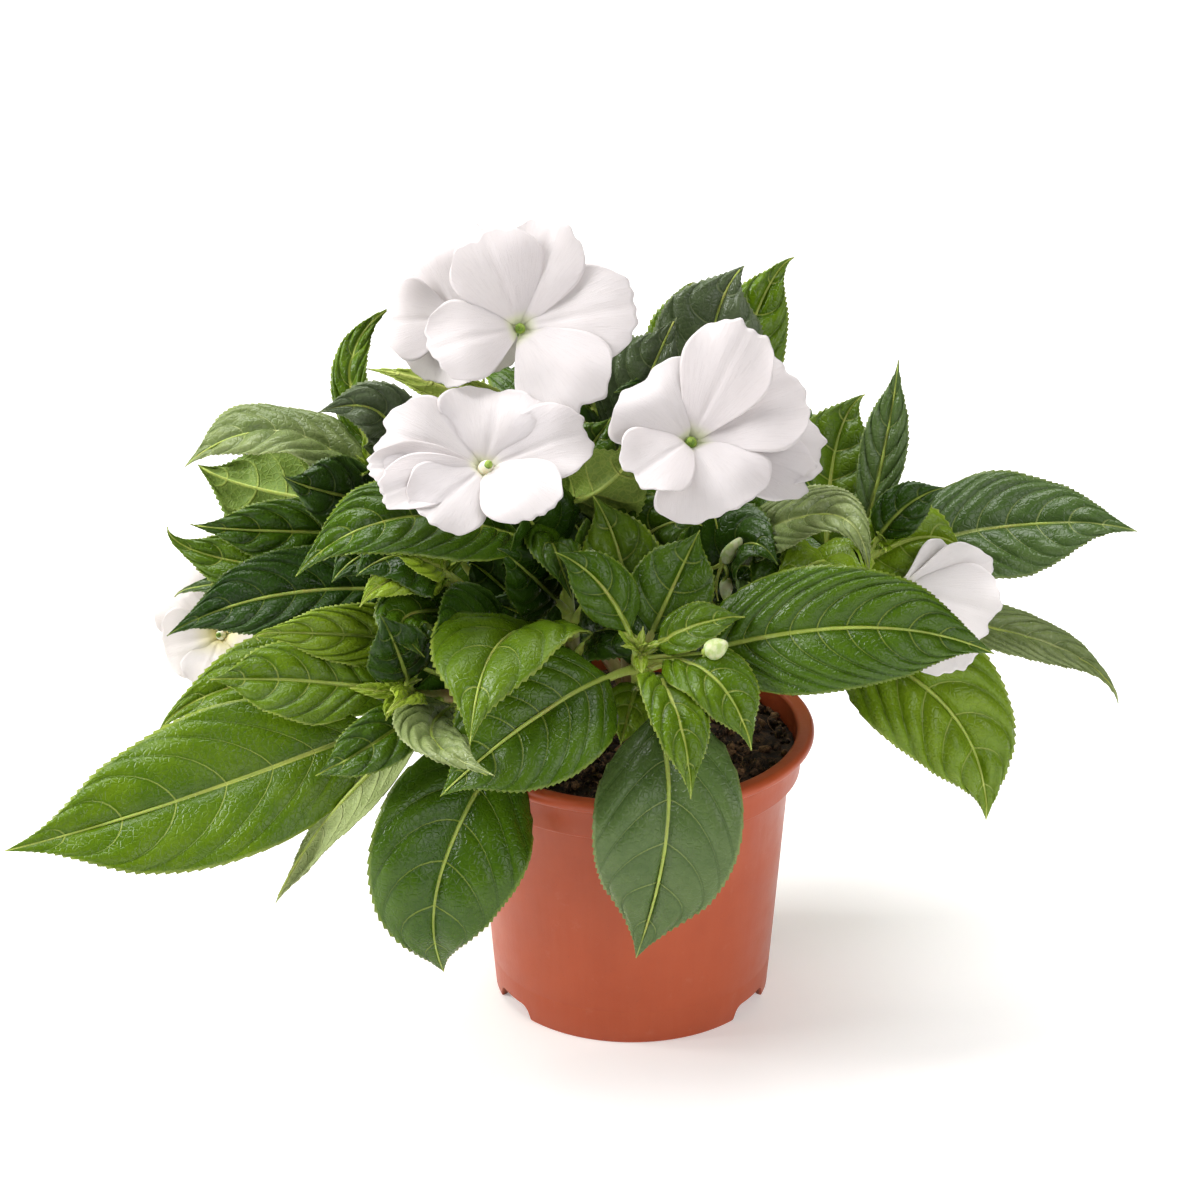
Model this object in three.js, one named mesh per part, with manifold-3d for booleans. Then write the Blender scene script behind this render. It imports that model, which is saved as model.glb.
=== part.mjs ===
// A potted New Guinea impatiens: a nursery pot, its peat, four branching stems, leaves and white flowers.
// Millimetres, +Z up, the viewer stands on the -Y side. The origin is the middle of the pot's underside.
import * as THREE from "three";
import { mergeVertices } from "three/addons/utils/BufferGeometryUtils.js";
import Module from "manifold-3d";

const wasm = await Module();
wasm.setup();

// Driving dimensions of the pot
const POT_HEIGHT = 95;
const RIM_RADIUS = 60;
const FOOT_RADIUS = 45.5;
const COLLAR_RADIUS = 55.5;
const SHOULDER_RADIUS = 52;
const COLLAR_HEIGHT = 15;
const COLLAR_DRAFT = 0.8;
const LIP_DEPTH = 4;
const LIP_ROUND = 1;
const LIP_CREST = 2.5;
const WALL = 1.6;
const BASE_DISC_RADIUS = 27;
const BASE_DISC_DRAFT = 1.5;
const FOOT_RING_WIDTH = 2.2;
const FLOOR_FILLET = 2.5;
const CHANNEL_HEIGHT = 5;
const DRAIN_HOLES = 6;
const DRAIN_RADIUS = 3.2;
const DRAIN_RING_RADIUS = 34;
const DRAIN_SIDES = 10;
const FOOT_NOTCHES = 3;
const NOTCH_WIDTH = 21;
const NOTCH_HEIGHT = 5;
const NOTCH_SLANT = 2.5;
const NOTCH_TURN = -30;
const CUTTER_DEPTH = 14;
const POT_SIDES = 32;

// Driving dimensions of the peat and the clearance between pieces that touch
const CLEARANCE = 0.3;
const SOIL_TOP = 88;
const SOIL_CROWN = 1.5;
const SOIL_SLOPE_WIDTH = 18;
const SOIL_EDGE_DEPTH = 4;

// Driving dimensions of stems, stalks and leaves
const STEM_SIDES = 7;
const STEM_STEPS = 5;
const STEM_TAPER = 0.6;
const STEM_RISE = 16;
const STALK_RADIUS = 1.1;
const STALK_SIDES = 6;
const STALK_LEAD = 18;
const STALK_PULL = 0.2;
const PETIOLE_RADIUS = 1.1;
const PETIOLE_SHARE = 0.16;
const PETIOLE_STATIONS = [0, 0.55];
const PETIOLE_SIDES = 8;
const BLADE_THICKNESS = 0.6;
const RIB_THICKNESS = 1.3;
const BLADE_STATIONS = [0, 0.14, 0.34, 0.57, 0.8, 1];
const BLADE_TIP_WIDTH = 0.5;
const BLADE_FOLD = 0.35;
const BLADE_DROOP = 0.9;
const PETAL_THICKNESS = 0.6;
const PETAL_ARCH = 2;
const PETAL_STATIONS = [0.02, 0.38, 0.75, 1];
const PETAL_WAIST = 1.2;
const PETAL_FLAT = 0.4;
const FLOWER_CUP_RADIUS = 3.2;

const V = (x, y, z) => new THREE.Vector3(x, y, z);
const vectorOf = (list) => V(...list);
const UP = V(0, 0, 1);

// The view that the flowers are described in: across, up and towards the viewer
const VIEW_ACROSS = V(1, 0, 0);
const VIEW_UP = V(0, 0.42, 0.91);
const VIEW_TOWARDS = V(0, -0.91, 0.42);

const material = (color, roughness) => new THREE.MeshStandardMaterial({ color, roughness, metalness: 0 });
const potPlastic = material(0xb05b3e, 0.42);
const peat = material(0x2e221a, 0.95);
const stemGreen = material(0x8a7a4a, 0.5);
const leafGreen = material(0x2f6b24, 0.4);
const petalWhite = material(0xf6f1ef, 0.55);

const plant = new THREE.Group();

function addPiece(name, geometry, finish) {
  const mesh = new THREE.Mesh(geometry, finish);
  mesh.name = name;
  plant.add(mesh);
}

// Booleans on closed meshes
function solidOf(geometry) {
  const bare = geometry.index ? geometry.toNonIndexed() : geometry.clone();
  bare.deleteAttribute("normal");
  bare.deleteAttribute("uv");
  const merged = mergeVertices(bare, 1e-4);
  return new wasm.Manifold(
    new wasm.Mesh({
      numProp: 3,
      vertProperties: new Float32Array(merged.attributes.position.array),
      triVerts: new Uint32Array(merged.index.array),
    }),
  );
}

function geometryOf(solid) {
  const mesh = solid.getMesh();
  const geometry = new THREE.BufferGeometry();
  geometry.setAttribute("position", new THREE.BufferAttribute(mesh.vertProperties, 3));
  geometry.setIndex(new THREE.BufferAttribute(mesh.triVerts, 1));
  return geometry;
}

const joined = (geometries) => geometryOf(geometries.map(solidOf).reduce((whole, next) => whole.add(next)));

// A closed skin over rings of points, each ring with the same number of points
function loft(rings) {
  const count = rings[0].length;
  const positions = rings.flat().flatMap((p) => [p.x, p.y, p.z]);
  const faces = [];
  for (let r = 0; r < rings.length - 1; r++) {
    for (let i = 0; i < count; i++) {
      const a = r * count + i;
      const b = r * count + ((i + 1) % count);
      faces.push(a, b, a + count, b, b + count, a + count);
    }
  }
  const last = (rings.length - 1) * count;
  for (let i = 1; i < count - 1; i++) {
    faces.push(0, i + 1, i);
    faces.push(last, last + i, last + i + 1);
  }
  const geometry = new THREE.BufferGeometry();
  geometry.setAttribute("position", new THREE.Float32BufferAttribute(positions, 3));
  geometry.setIndex(faces);
  return geometry;
}

// The pot
function revolve(profile) {
  const points = profile.map(([r, z]) => new THREE.Vector2(r, z));
  return new THREE.LatheGeometry(points, POT_SIDES).rotateX(Math.PI / 2);
}

function potSkin() {
  const collarFoot = POT_HEIGHT - COLLAR_HEIGHT;
  const lipFoot = POT_HEIGHT - LIP_DEPTH;
  const footInside = FOOT_RADIUS - FOOT_RING_WIDTH;
  const floorTop = CHANNEL_HEIGHT + WALL;
  return revolve([
    [0, 0],
    [BASE_DISC_RADIUS, 0],
    [BASE_DISC_RADIUS + BASE_DISC_DRAFT, CHANNEL_HEIGHT],
    [footInside, CHANNEL_HEIGHT],
    [footInside, 0],
    [FOOT_RADIUS, 0],
    [SHOULDER_RADIUS, collarFoot],
    [COLLAR_RADIUS, collarFoot],
    [COLLAR_RADIUS + COLLAR_DRAFT, lipFoot],
    [RIM_RADIUS - LIP_ROUND / 2, lipFoot],
    [RIM_RADIUS, lipFoot + LIP_ROUND],
    [RIM_RADIUS - LIP_ROUND, POT_HEIGHT - LIP_ROUND / 2],
    [RIM_RADIUS - LIP_CREST, POT_HEIGHT],
    [COLLAR_RADIUS, POT_HEIGHT - LIP_ROUND],
    [COLLAR_RADIUS - WALL, collarFoot + WALL],
    [SHOULDER_RADIUS - WALL, collarFoot - WALL],
    [FOOT_RADIUS - WALL, floorTop + FLOOR_FILLET],
    [FOOT_RADIUS - WALL - FLOOR_FILLET, floorTop],
    [BASE_DISC_RADIUS + WALL, floorTop],
    [BASE_DISC_RADIUS - WALL / 2, WALL],
    [0, WALL],
  ]);
}

function drainHole(turn) {
  const hole = new THREE.CylinderGeometry(DRAIN_RADIUS, DRAIN_RADIUS, CUTTER_DEPTH, DRAIN_SIDES);
  return hole.rotateX(Math.PI / 2).translate(DRAIN_RING_RADIUS, 0, CHANNEL_HEIGHT).rotateZ(turn);
}

function footNotch(turn) {
  const half = NOTCH_WIDTH / 2;
  const outline = new THREE.Shape();
  outline.moveTo(-half, -1);
  outline.lineTo(half, -1);
  outline.lineTo(half - NOTCH_SLANT, NOTCH_HEIGHT);
  outline.lineTo(NOTCH_SLANT - half, NOTCH_HEIGHT);
  const cutter = new THREE.ExtrudeGeometry(outline, { depth: CUTTER_DEPTH, bevelEnabled: false });
  return cutter.rotateX(Math.PI / 2).translate(0, CUTTER_DEPTH / 2 - FOOT_RADIUS, 0).rotateZ(turn);
}

function pot() {
  const turn = (i, count) => (i * 2 * Math.PI) / count;
  const firstNotch = THREE.MathUtils.degToRad(NOTCH_TURN + 90);
  let body = solidOf(potSkin());
  for (let i = 0; i < DRAIN_HOLES; i++) {
    body = body.subtract(solidOf(drainHole(turn(i, DRAIN_HOLES))));
  }
  for (let i = 0; i < FOOT_NOTCHES; i++) {
    body = body.subtract(solidOf(footNotch(firstNotch + turn(i, FOOT_NOTCHES))));
  }
  return geometryOf(body);
}

// The peat fills the pot up to a low crown
function soil() {
  const floor = CHANNEL_HEIGHT + WALL + CLEARANCE;
  const collarFoot = POT_HEIGHT - COLLAR_HEIGHT;
  const footInside = FOOT_RADIUS - WALL - CLEARANCE;
  const inside = SHOULDER_RADIUS - WALL - CLEARANCE;
  return revolve([
    [0, floor],
    [footInside - FLOOR_FILLET - 1, floor],
    [footInside, floor + FLOOR_FILLET + 1],
    [inside, collarFoot - WALL - CLEARANCE],
    [inside + WALL, SOIL_TOP - SOIL_EDGE_DEPTH],
    [inside + WALL, SOIL_TOP],
    [inside - SOIL_SLOPE_WIDTH, SOIL_TOP + SOIL_CROWN / 2],
    [0, SOIL_TOP + SOIL_CROWN],
  ]);
}

// Branches: where each leaves the peat, where it bends and where its crown of leaves is
const BRANCHES = {
  front: { from: [2, -14], bend: [2, -30, 126], to: [2, -48, 143], radius: 3.6 },
  left_front: { from: [2, -14], bend: [-36, -24, 116], to: [-74, -36, 123], radius: 2.8 },
  left: { from: [-18, 4], bend: [-36, -2, 128], to: [-60, -8, 152], radius: 3.2 },
  left_back: { from: [-18, 4], bend: [-44, 14, 136], to: [-84, 20, 175], radius: 3 },
  centre: { from: [-18, 4], bend: [-20, 4, 140], to: [-28, 4, 178], radius: 3 },
  right: { from: [20, 0], bend: [44, 0, 132], to: [80, -4, 160], radius: 3.2 },
  right_back: { from: [20, 0], bend: [22, 14, 136], to: [24, 34, 186], radius: 3 },
  top: { from: [0, 20], bend: [-4, 28, 142], to: [-12, 44, 190], radius: 3.4 },
  back: { from: [0, 20], bend: [14, 52, 118], to: [34, 78, 138], radius: 3 },
  back_left: { from: [0, 20], bend: [-26, 50, 116], to: [-48, 76, 136], radius: 2.8 },
};

const STEMS = {
  stem_front: ["front", "left_front"],
  stem_left: ["left", "left_back", "centre"],
  stem_right: ["right", "right_back"],
  stem_back: ["top", "back", "back_left"],
};

// Flowers: the eye, the way it looks, the branch and place its stalk leaves, and each petal's reach
// from the eye (across, up, towards the viewer) with its width
const FLOWERS = {
  flower_top: {
    eye: [-36, 2, 234], looks: [0, -0.8, 0.6], branch: "top", at: 0.9,
    petals: [
      [-12, 32, 6, 30], [9, 36, 6, 28], [38, 8, 4, 34],
      [22, -25, 12, 32], [-30, -4, 10, 28],
    ],
  },
  flower_top_behind: {
    eye: [-56, 28, 226], looks: [-0.3, -0.7, 0.6], branch: "left_back", at: 0.82,
    petals: [
      [-8, 26, -8, 26], [12, 26, -10, 24], [20, -10, -2, 24],
      [-6, -24, 2, 28], [-26, -6, -2, 28],
    ],
  },
  flower_left: {
    eye: [-47, -34, 201], looks: [0.1, -0.7, 0.7], branch: "centre", at: 0.93,
    petals: [
      [-34, 12, 6, 32], [2, 25, -4, 32], [33, 12, -4, 26],
      [20, -17, 16, 26], [-26, -12, 12, 28],
    ],
  },
  flower_right: {
    eye: [18, -24, 206], looks: [0, -0.7, 0.7], branch: "right_back", at: 0.9,
    petals: [
      [-20, 15, 6, 30], [18, 36, 2, 34], [36, 18, -8, 34],
      [28, -18, 6, 36], [-12, -16, 16, 30],
    ],
  },
  flower_side: {
    eye: [86, -18, 152], looks: [0.9, -0.3, 0.1], branch: "right", at: 0.8,
    petals: [
      [16, 14, -6, 24], [30, 12, 4, 24], [32, -4, 10, 24],
      [28, -22, 6, 20], [12, -18, 8, 18],
    ],
  },
  flower_far_left: {
    eye: [-122, 46, 124], looks: [-0.6, -0.6, 0.4], branch: "left_back", at: 0.45,
    petals: [
      [-16, 20, -4, 24], [-24, 2, 0, 26], [-18, -18, 4, 24],
      [2, -26, 6, 22], [6, 20, -6, 24],
    ],
  },
  flower_back: {
    eye: [22, 104, 158], looks: [0.1, 0.8, 0.6], branch: "back", at: 0.7,
    petals: [
      [-20, 16, -14, 28], [2, 22, -8, 28], [26, 6, -12, 30],
      [14, -16, -22, 28], [-14, -14, -24, 28],
    ],
  },
};

// Leaves: the branch and place of attachment, the points that the midrib passes half-way and at its
// tip, the width, and the direction that the upper side looks
const LEAVES = {
  leaf_front_drop: {
    branch: "front", at: 0.74, width: 47,
    mid: [11, -78, 106], tip: [1, -70, 46], looks: [0, -1, 0.3],
  },
  leaf_front_left: {
    branch: "front", at: 0.86, width: 44,
    mid: [-28, -70, 134], tip: [-61, -82, 110], looks: [-0.1, -0.9, 0.8],
  },
  leaf_front_right: {
    branch: "front", at: 0.82, width: 40,
    mid: [66, -60, 158], tip: [114, -52, 145], looks: [0, -0.9, 0.7],
  },
  leaf_front_inner_right: {
    branch: "front", at: 0.93, width: 24,
    mid: [24, -66, 145], tip: [37, -76, 123], looks: [0.3, -0.7, 0.9],
  },
  leaf_front_inner_mid: {
    branch: "front", at: 0.89, width: 26,
    mid: [13, -78, 138], tip: [18, -92, 114], looks: [0.5, -0.7, 0.7],
  },
  leaf_front_up_right: {
    branch: "front", at: 0.95, width: 27,
    mid: [14, -37, 165], tip: [21, -30, 178], looks: [0, -1, 0.5],
  },
  leaf_front_up_left: {
    branch: "front", at: 0.98, width: 28,
    mid: [-10, -42, 164], tip: [-25, -38, 174], looks: [0.1, -1, 0.6],
  },
  leaf_front_up_back: {
    branch: "front", at: 0.78, width: 28,
    mid: [-4, -22, 164], tip: [-13, -14, 183], looks: [0, -1, 0.6],
  },
  leaf_over_front: {
    branch: "centre", at: 0.5, width: 48,
    mid: [-42, -55, 151], tip: [-51, -88, 131], looks: [-0.3, -0.7, 0.9],
  },
  leaf_left_curl: {
    branch: "left_front", at: 0.82, width: 20,
    mid: [-70, -79, 133], tip: [-45, -112, 127], looks: [0.3, -0.5, 1],
  },
  leaf_left_big: {
    branch: "left_front", at: 0.88, width: 50,
    mid: [-136, -48, 102], tip: [-201, -60, 79], looks: [-0.1, -0.9, 0.6],
  },
  leaf_left_behind: {
    branch: "left", at: 0.5, width: 44,
    mid: [-118, 6, 114], tip: [-158, 0, 94], looks: [0, -0.8, 0.8],
  },
  leaf_left_bright: {
    branch: "left_front", at: 0.97, width: 38,
    mid: [-106, -36, 128], tip: [-135, -42, 131], looks: [0, -0.8, 0.8],
  },
  leaf_left_droop: {
    branch: "left_front", at: 0.84, width: 26,
    mid: [-92, -50, 92], tip: [-115, -54, 57], looks: [-0.8, -0.2, 0.8],
  },
  leaf_left_drop: {
    branch: "left_front", at: 0.62, width: 50,
    mid: [-60, -69, 80], tip: [-61, -62, 36], looks: [0, -1, 0.3],
  },
  leaf_left_dark: {
    branch: "left", at: 0.9, width: 36,
    mid: [-110, -10, 147], tip: [-150, -20, 136], looks: [0, -0.9, 0.9],
  },
  leaf_back_light: {
    branch: "left_back", at: 0.7, width: 36,
    mid: [-126, 26, 146], tip: [-153, 28, 153], looks: [0, -0.9, 0.7],
  },
  leaf_back_dark: {
    branch: "left_back", at: 0.84, width: 34,
    mid: [-118, 8, 164], tip: [-143, 6, 164], looks: [0, -0.9, 0.7],
  },
  leaf_back_under: {
    branch: "left_back", at: 0.9, width: 38,
    mid: [-119, 32, 170], tip: [-143, 36, 172], looks: [0, 0.9, -0.7],
  },
  leaf_back_top: {
    branch: "left_back", at: 0.96, width: 42,
    mid: [-114, 14, 193], tip: [-144, -2, 188], looks: [0, -0.5, 1],
  },
  leaf_back_inner: {
    branch: "left_back", at: 0.92, width: 26,
    mid: [-99, -4, 180], tip: [-112, -10, 188], looks: [0.4, -1, 0.6],
  },
  leaf_back_upright: {
    branch: "left_back", at: 0.99, width: 24,
    mid: [-92, 38, 203], tip: [-78, 46, 224], looks: [-0.5, -1, 0.2],
  },
  leaf_back_high: {
    branch: "left_back", at: 0.94, width: 28,
    mid: [-80, 8, 201], tip: [-101, 4, 204], looks: [0, -0.9, 0.8],
  },
  leaf_left_inner: {
    branch: "left", at: 0.8, width: 24,
    mid: [-72, -34, 150], tip: [-66, -50, 143], looks: [0.1, -0.9, 0.8],
  },
  leaf_centre_low: {
    branch: "centre", at: 0.66, width: 20,
    mid: [-26, -22, 170], tip: [-19, -36, 156], looks: [0.2, -0.8, 0.8],
  },
  leaf_centre_long: {
    branch: "centre", at: 0.8, width: 38,
    mid: [-72, -36, 185], tip: [-106, -50, 171], looks: [0, -0.5, 1],
  },
  leaf_centre_under: {
    branch: "centre", at: 0.96, width: 32,
    mid: [-11, -12, 184], tip: [2, -8, 198], looks: [0.3, 1, 0.3],
  },
  leaf_top_dark_left: {
    branch: "top", at: 0.84, width: 34,
    mid: [6, 20, 212], tip: [14, 20, 231], looks: [-0.4, -1, 0.4],
  },
  leaf_top_dark: {
    branch: "right_back", at: 0.96, width: 40,
    mid: [26, 30, 222], tip: [36, 34, 243], looks: [-0.3, -1, 0.4],
  },
  leaf_top_light: {
    branch: "right_back", at: 0.9, width: 36,
    mid: [42, 46, 218], tip: [53, 54, 238], looks: [0.2, -1, 0.5],
  },
  leaf_top_behind: {
    branch: "top", at: 0.97, width: 28,
    mid: [-22, 56, 216], tip: [-12, 60, 230], looks: [0, -1, 0.6],
  },
  leaf_right_back: {
    branch: "right", at: 0.84, width: 32,
    mid: [66, 24, 182], tip: [76, 36, 197], looks: [0, -1, 0.7],
  },
  leaf_right_upright: {
    branch: "right", at: 0.95, width: 19,
    mid: [81, 8, 196], tip: [85, 14, 218], looks: [-0.5, -1, 0.3],
  },
  leaf_right_big: {
    branch: "right", at: 0.9, width: 40,
    mid: [119, 6, 163], tip: [163, 0, 164], looks: [0, -0.9, 0.8],
  },
  leaf_right_near: {
    branch: "right_back", at: 0.66, width: 34,
    mid: [56, -26, 184], tip: [74, -46, 170], looks: [-0.1, -0.7, 0.9],
  },
  leaf_right_low: {
    branch: "right", at: 0.74, width: 24,
    mid: [50, -12, 155], tip: [38, -22, 148], looks: [0, -0.9, 0.8],
  },
  leaf_right_drop: {
    branch: "right", at: 0.66, width: 42,
    mid: [98, -28, 118], tip: [115, -28, 74], looks: [0.2, -1, 0.4],
  },
  leaf_right_far: {
    branch: "right", at: 0.78, width: 24,
    mid: [133, 2, 124], tip: [160, 2, 101], looks: [0.3, -0.6, 1],
  },
  leaf_rear_right: {
    branch: "back", at: 0.95, width: 44,
    mid: [76, 92, 126], tip: [112, 100, 104], looks: [0.1, 0.6, 1],
  },
  leaf_rear_drop: {
    branch: "back", at: 0.84, width: 46,
    mid: [38, 104, 110], tip: [34, 106, 60], looks: [0.1, 1, 0.3],
  },
  leaf_rear_up: {
    branch: "back", at: 0.9, width: 30,
    mid: [52, 98, 152], tip: [62, 118, 158], looks: [0, 0.7, 0.9],
  },
  leaf_rear_side: {
    branch: "back", at: 0.76, width: 38,
    mid: [68, 62, 136], tip: [104, 60, 130], looks: [0.1, 0.1, 1],
  },
  leaf_rear_middle: {
    branch: "back_left", at: 0.8, width: 42,
    mid: [-16, 104, 130], tip: [-6, 134, 108], looks: [0, 0.6, 1],
  },
  leaf_rear_left: {
    branch: "back_left", at: 0.92, width: 46,
    mid: [-84, 92, 130], tip: [-116, 100, 102], looks: [-0.2, 0.6, 1],
  },
  leaf_rear_left_drop: {
    branch: "back_left", at: 0.86, width: 44,
    mid: [-58, 104, 104], tip: [-62, 106, 56], looks: [0, 1, 0.3],
  },
  leaf_rear_left_up: {
    branch: "back_left", at: 0.97, width: 30,
    mid: [-60, 92, 156], tip: [-70, 108, 162], looks: [0, 0.7, 1],
  },
  leaf_rear_top: {
    branch: "top", at: 0.8, width: 40,
    mid: [-34, 80, 182], tip: [-44, 106, 172], looks: [0, 0.5, 1],
  },
};

// A branch leaves the peat straight up
function branchCurve({ from, bend, to }) {
  const foot = V(from[0], from[1], SOIL_TOP + SOIL_CROWN + CLEARANCE);
  const straight = foot.clone().addScaledVector(UP, STEM_RISE);
  return new THREE.CubicBezierCurve3(foot, straight, vectorOf(bend), vectorOf(to));
}

// A ring of points around centre, in the plane of side and other
function ringAround(centre, side, other, radius, sides) {
  return Array.from({ length: sides }, (_, k) => {
    const angle = (k * 2 * Math.PI) / sides;
    const across = side.clone().multiplyScalar(radius * Math.cos(angle));
    return across.addScaledVector(other, radius * Math.sin(angle)).add(centre);
  });
}

// A round tube that narrows along a curve
function tube(curve, startRadius, endRadius, sides) {
  const rings = [];
  for (let i = 0; i <= STEM_STEPS; i++) {
    const along = i / STEM_STEPS;
    const tangent = curve.getTangent(along);
    const side = new THREE.Vector3().crossVectors(tangent, VIEW_TOWARDS).normalize();
    const other = new THREE.Vector3().crossVectors(tangent, side);
    const radius = THREE.MathUtils.lerp(startRadius, endRadius, along);
    rings.push(ringAround(curve.getPoint(along), side, other, radius, sides));
  }
  return loft(rings);
}

function flowerStalk({ eye, looks, branch, at }) {
  const start = branchCurve(BRANCHES[branch]).getPoint(at);
  const back = vectorOf(looks).normalize();
  const end = vectorOf(eye).addScaledVector(back, -(FLOWER_CUP_RADIUS + CLEARANCE));
  const middle = end.clone().addScaledVector(back, -STALK_LEAD).lerp(start, STALK_PULL);
  return tube(new THREE.QuadraticBezierCurve3(start, middle, end), STALK_RADIUS, STALK_RADIUS, STALK_SIDES);
}

function stem(branchNames) {
  const tubes = branchNames.map((name) => {
    const { radius } = BRANCHES[name];
    return tube(branchCurve(BRANCHES[name]), radius, radius * STEM_TAPER, STEM_SIDES);
  });
  const stalks = Object.values(FLOWERS).filter((flower) => branchNames.includes(flower.branch));
  return joined([...tubes, ...stalks.map(flowerStalk)]);
}

// Where a leaf leaves its branch: the branch's surface, on the side that the leaf grows to.
// A petiole that slants away from it stands off by what its round end needs.
function attachment({ branch, at, mid, tip }) {
  const curve = branchCurve(BRANCHES[branch]);
  const centre = curve.getPoint(at);
  const tangent = curve.getTangent(at);
  const outwards = vectorOf(mid).sub(centre).projectOnPlane(tangent).normalize();
  const radius = BRANCHES[branch].radius * THREE.MathUtils.lerp(1, STEM_TAPER, at);
  const touching = centre.clone().addScaledVector(outwards, radius);
  const leaving = archedCurve(touching, vectorOf(mid), vectorOf(tip)).getTangent(0);
  const slant = new THREE.Vector3().crossVectors(leaving, outwards).length();
  return touching.addScaledVector(outwards, CLEARANCE + PETIOLE_RADIUS * slant);
}

// A curve from start to tip that passes mid half-way
function archedCurve(start, mid, tip) {
  const control = mid.clone().multiplyScalar(2).addScaledVector(start, -0.5).addScaledVector(tip, -0.5);
  return new THREE.QuadraticBezierCurve3(start, control, tip);
}

// The share of the full width along a leaf blade, 1 at its widest place, two fifths from the petiole
const bladeShape = (s) => 3.02 * Math.pow(s, 0.65) * (1 - s);

function bladeRing(centre, side, normal, half, rib) {
  const at = (v, lift) => centre.clone().addScaledVector(side, v * half).addScaledVector(normal, lift);
  const rise = (v) => BLADE_FOLD * half * (Math.abs(v) - BLADE_DROOP * v * v);
  const skin = BLADE_THICKNESS / 2;
  return [
    at(-1, rise(1)),
    at(-0.5, rise(0.5) + skin),
    at(0, skin),
    at(0.5, rise(0.5) + skin),
    at(1, rise(1)),
    at(0.5, rise(0.5) - skin),
    at(0, -rib),
    at(-0.5, rise(0.5) - skin),
  ];
}

function leaf(shape) {
  const curve = archedCurve(attachment(shape), vectorOf(shape.mid), vectorOf(shape.tip));
  const looks = vectorOf(shape.looks);
  const frameAt = (place) => {
    const tangent = curve.getTangentAt(place);
    const side = new THREE.Vector3().crossVectors(tangent, looks).normalize();
    return [curve.getPointAt(place), side, new THREE.Vector3().crossVectors(side, tangent)];
  };
  const rings = PETIOLE_STATIONS.map((share) => {
    const [centre, side, normal] = frameAt(share * PETIOLE_SHARE);
    return ringAround(centre, side.negate(), normal, PETIOLE_RADIUS, PETIOLE_SIDES);
  });
  for (const s of BLADE_STATIONS) {
    const [centre, side, normal] = frameAt(PETIOLE_SHARE + (1 - PETIOLE_SHARE) * s);
    const least = s < 0.5 ? PETIOLE_RADIUS : BLADE_TIP_WIDTH;
    const half = Math.max((shape.width / 2) * bladeShape(s), least);
    const rib = THREE.MathUtils.lerp(RIB_THICKNESS, BLADE_THICKNESS / 2, s);
    rings.push(bladeRing(centre, side, normal, half, rib));
  }
  return loft(rings);
}

// The share of the full width along a petal
const petalShape = (s) => Math.sin(Math.PI * Math.pow(s, 1.35) * 0.83);

function petal(eye, looks, [across, up, towards, width]) {
  const reach = V(0, 0, 0)
    .addScaledVector(VIEW_ACROSS, across)
    .addScaledVector(VIEW_UP, up)
    .addScaledVector(VIEW_TOWARDS, towards);
  const middle = reach.clone().multiplyScalar(0.5).addScaledVector(looks, PETAL_ARCH);
  const curve = archedCurve(eye, eye.clone().add(middle), eye.clone().add(reach));
  const rings = PETAL_STATIONS.map((s) => {
    const tangent = curve.getTangentAt(s);
    const side = new THREE.Vector3().crossVectors(tangent, looks).normalize();
    const normal = new THREE.Vector3().crossVectors(side, tangent);
    const half = Math.max((width / 2) * petalShape(s), PETAL_WAIST);
    const flat = PETAL_FLAT;
    const skin = PETAL_THICKNESS / 2;
    const at = (v, lift) => {
      const across = curve.getPointAt(s).addScaledVector(side, v * half);
      return across.addScaledVector(normal, lift);
    };
    return [at(-1, 0), at(-flat, skin), at(flat, skin), at(1, 0), at(flat, -skin), at(-flat, -skin)];
  });
  return loft(rings);
}

function corolla({ eye, looks, petals }) {
  const centre = vectorOf(eye);
  const facing = vectorOf(looks).normalize();
  const cup = new THREE.SphereGeometry(FLOWER_CUP_RADIUS, 6, 4).translate(centre.x, centre.y, centre.z);
  return joined([cup, ...petals.map((shape) => petal(centre, facing, shape))]);
}

addPiece("pot", pot(), potPlastic);
addPiece("soil", soil(), peat);
for (const [name, branchNames] of Object.entries(STEMS)) addPiece(name, stem(branchNames), stemGreen);
for (const [name, shape] of Object.entries(LEAVES)) addPiece(name, leaf(shape), leafGreen);
for (const [name, shape] of Object.entries(FLOWERS)) addPiece(name, corolla(shape), petalWhite);

export default plant;
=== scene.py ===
"""A New Guinea impatiens in its nursery pot: the finished look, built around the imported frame.

Metres, +Z up, the viewer on the -Y side, the origin in the middle of the pot's underside.
"""

import math
import random

import bmesh
import bpy
import numpy as np
from mathutils import Matrix, Vector, noise


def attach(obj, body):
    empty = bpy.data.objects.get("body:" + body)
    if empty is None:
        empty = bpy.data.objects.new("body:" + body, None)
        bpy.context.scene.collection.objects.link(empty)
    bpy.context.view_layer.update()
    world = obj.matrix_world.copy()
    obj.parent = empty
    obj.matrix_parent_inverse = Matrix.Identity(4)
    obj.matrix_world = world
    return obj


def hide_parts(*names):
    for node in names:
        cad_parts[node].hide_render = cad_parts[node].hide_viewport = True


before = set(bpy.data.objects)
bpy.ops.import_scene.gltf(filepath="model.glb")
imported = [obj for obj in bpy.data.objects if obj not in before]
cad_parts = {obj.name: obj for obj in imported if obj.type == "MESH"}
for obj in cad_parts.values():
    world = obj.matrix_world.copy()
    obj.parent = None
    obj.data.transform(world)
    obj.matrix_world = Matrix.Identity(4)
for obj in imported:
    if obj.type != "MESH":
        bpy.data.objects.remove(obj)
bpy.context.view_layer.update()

# Driving dimensions of the pot, as in the frame
POT_HEIGHT = 0.095
RIM_RADIUS = 0.060
FOOT_RADIUS = 0.0455
COLLAR_RADIUS = 0.0555
SHOULDER_RADIUS = 0.052
COLLAR_HEIGHT = 0.015
COLLAR_DRAFT = 0.0008
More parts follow.
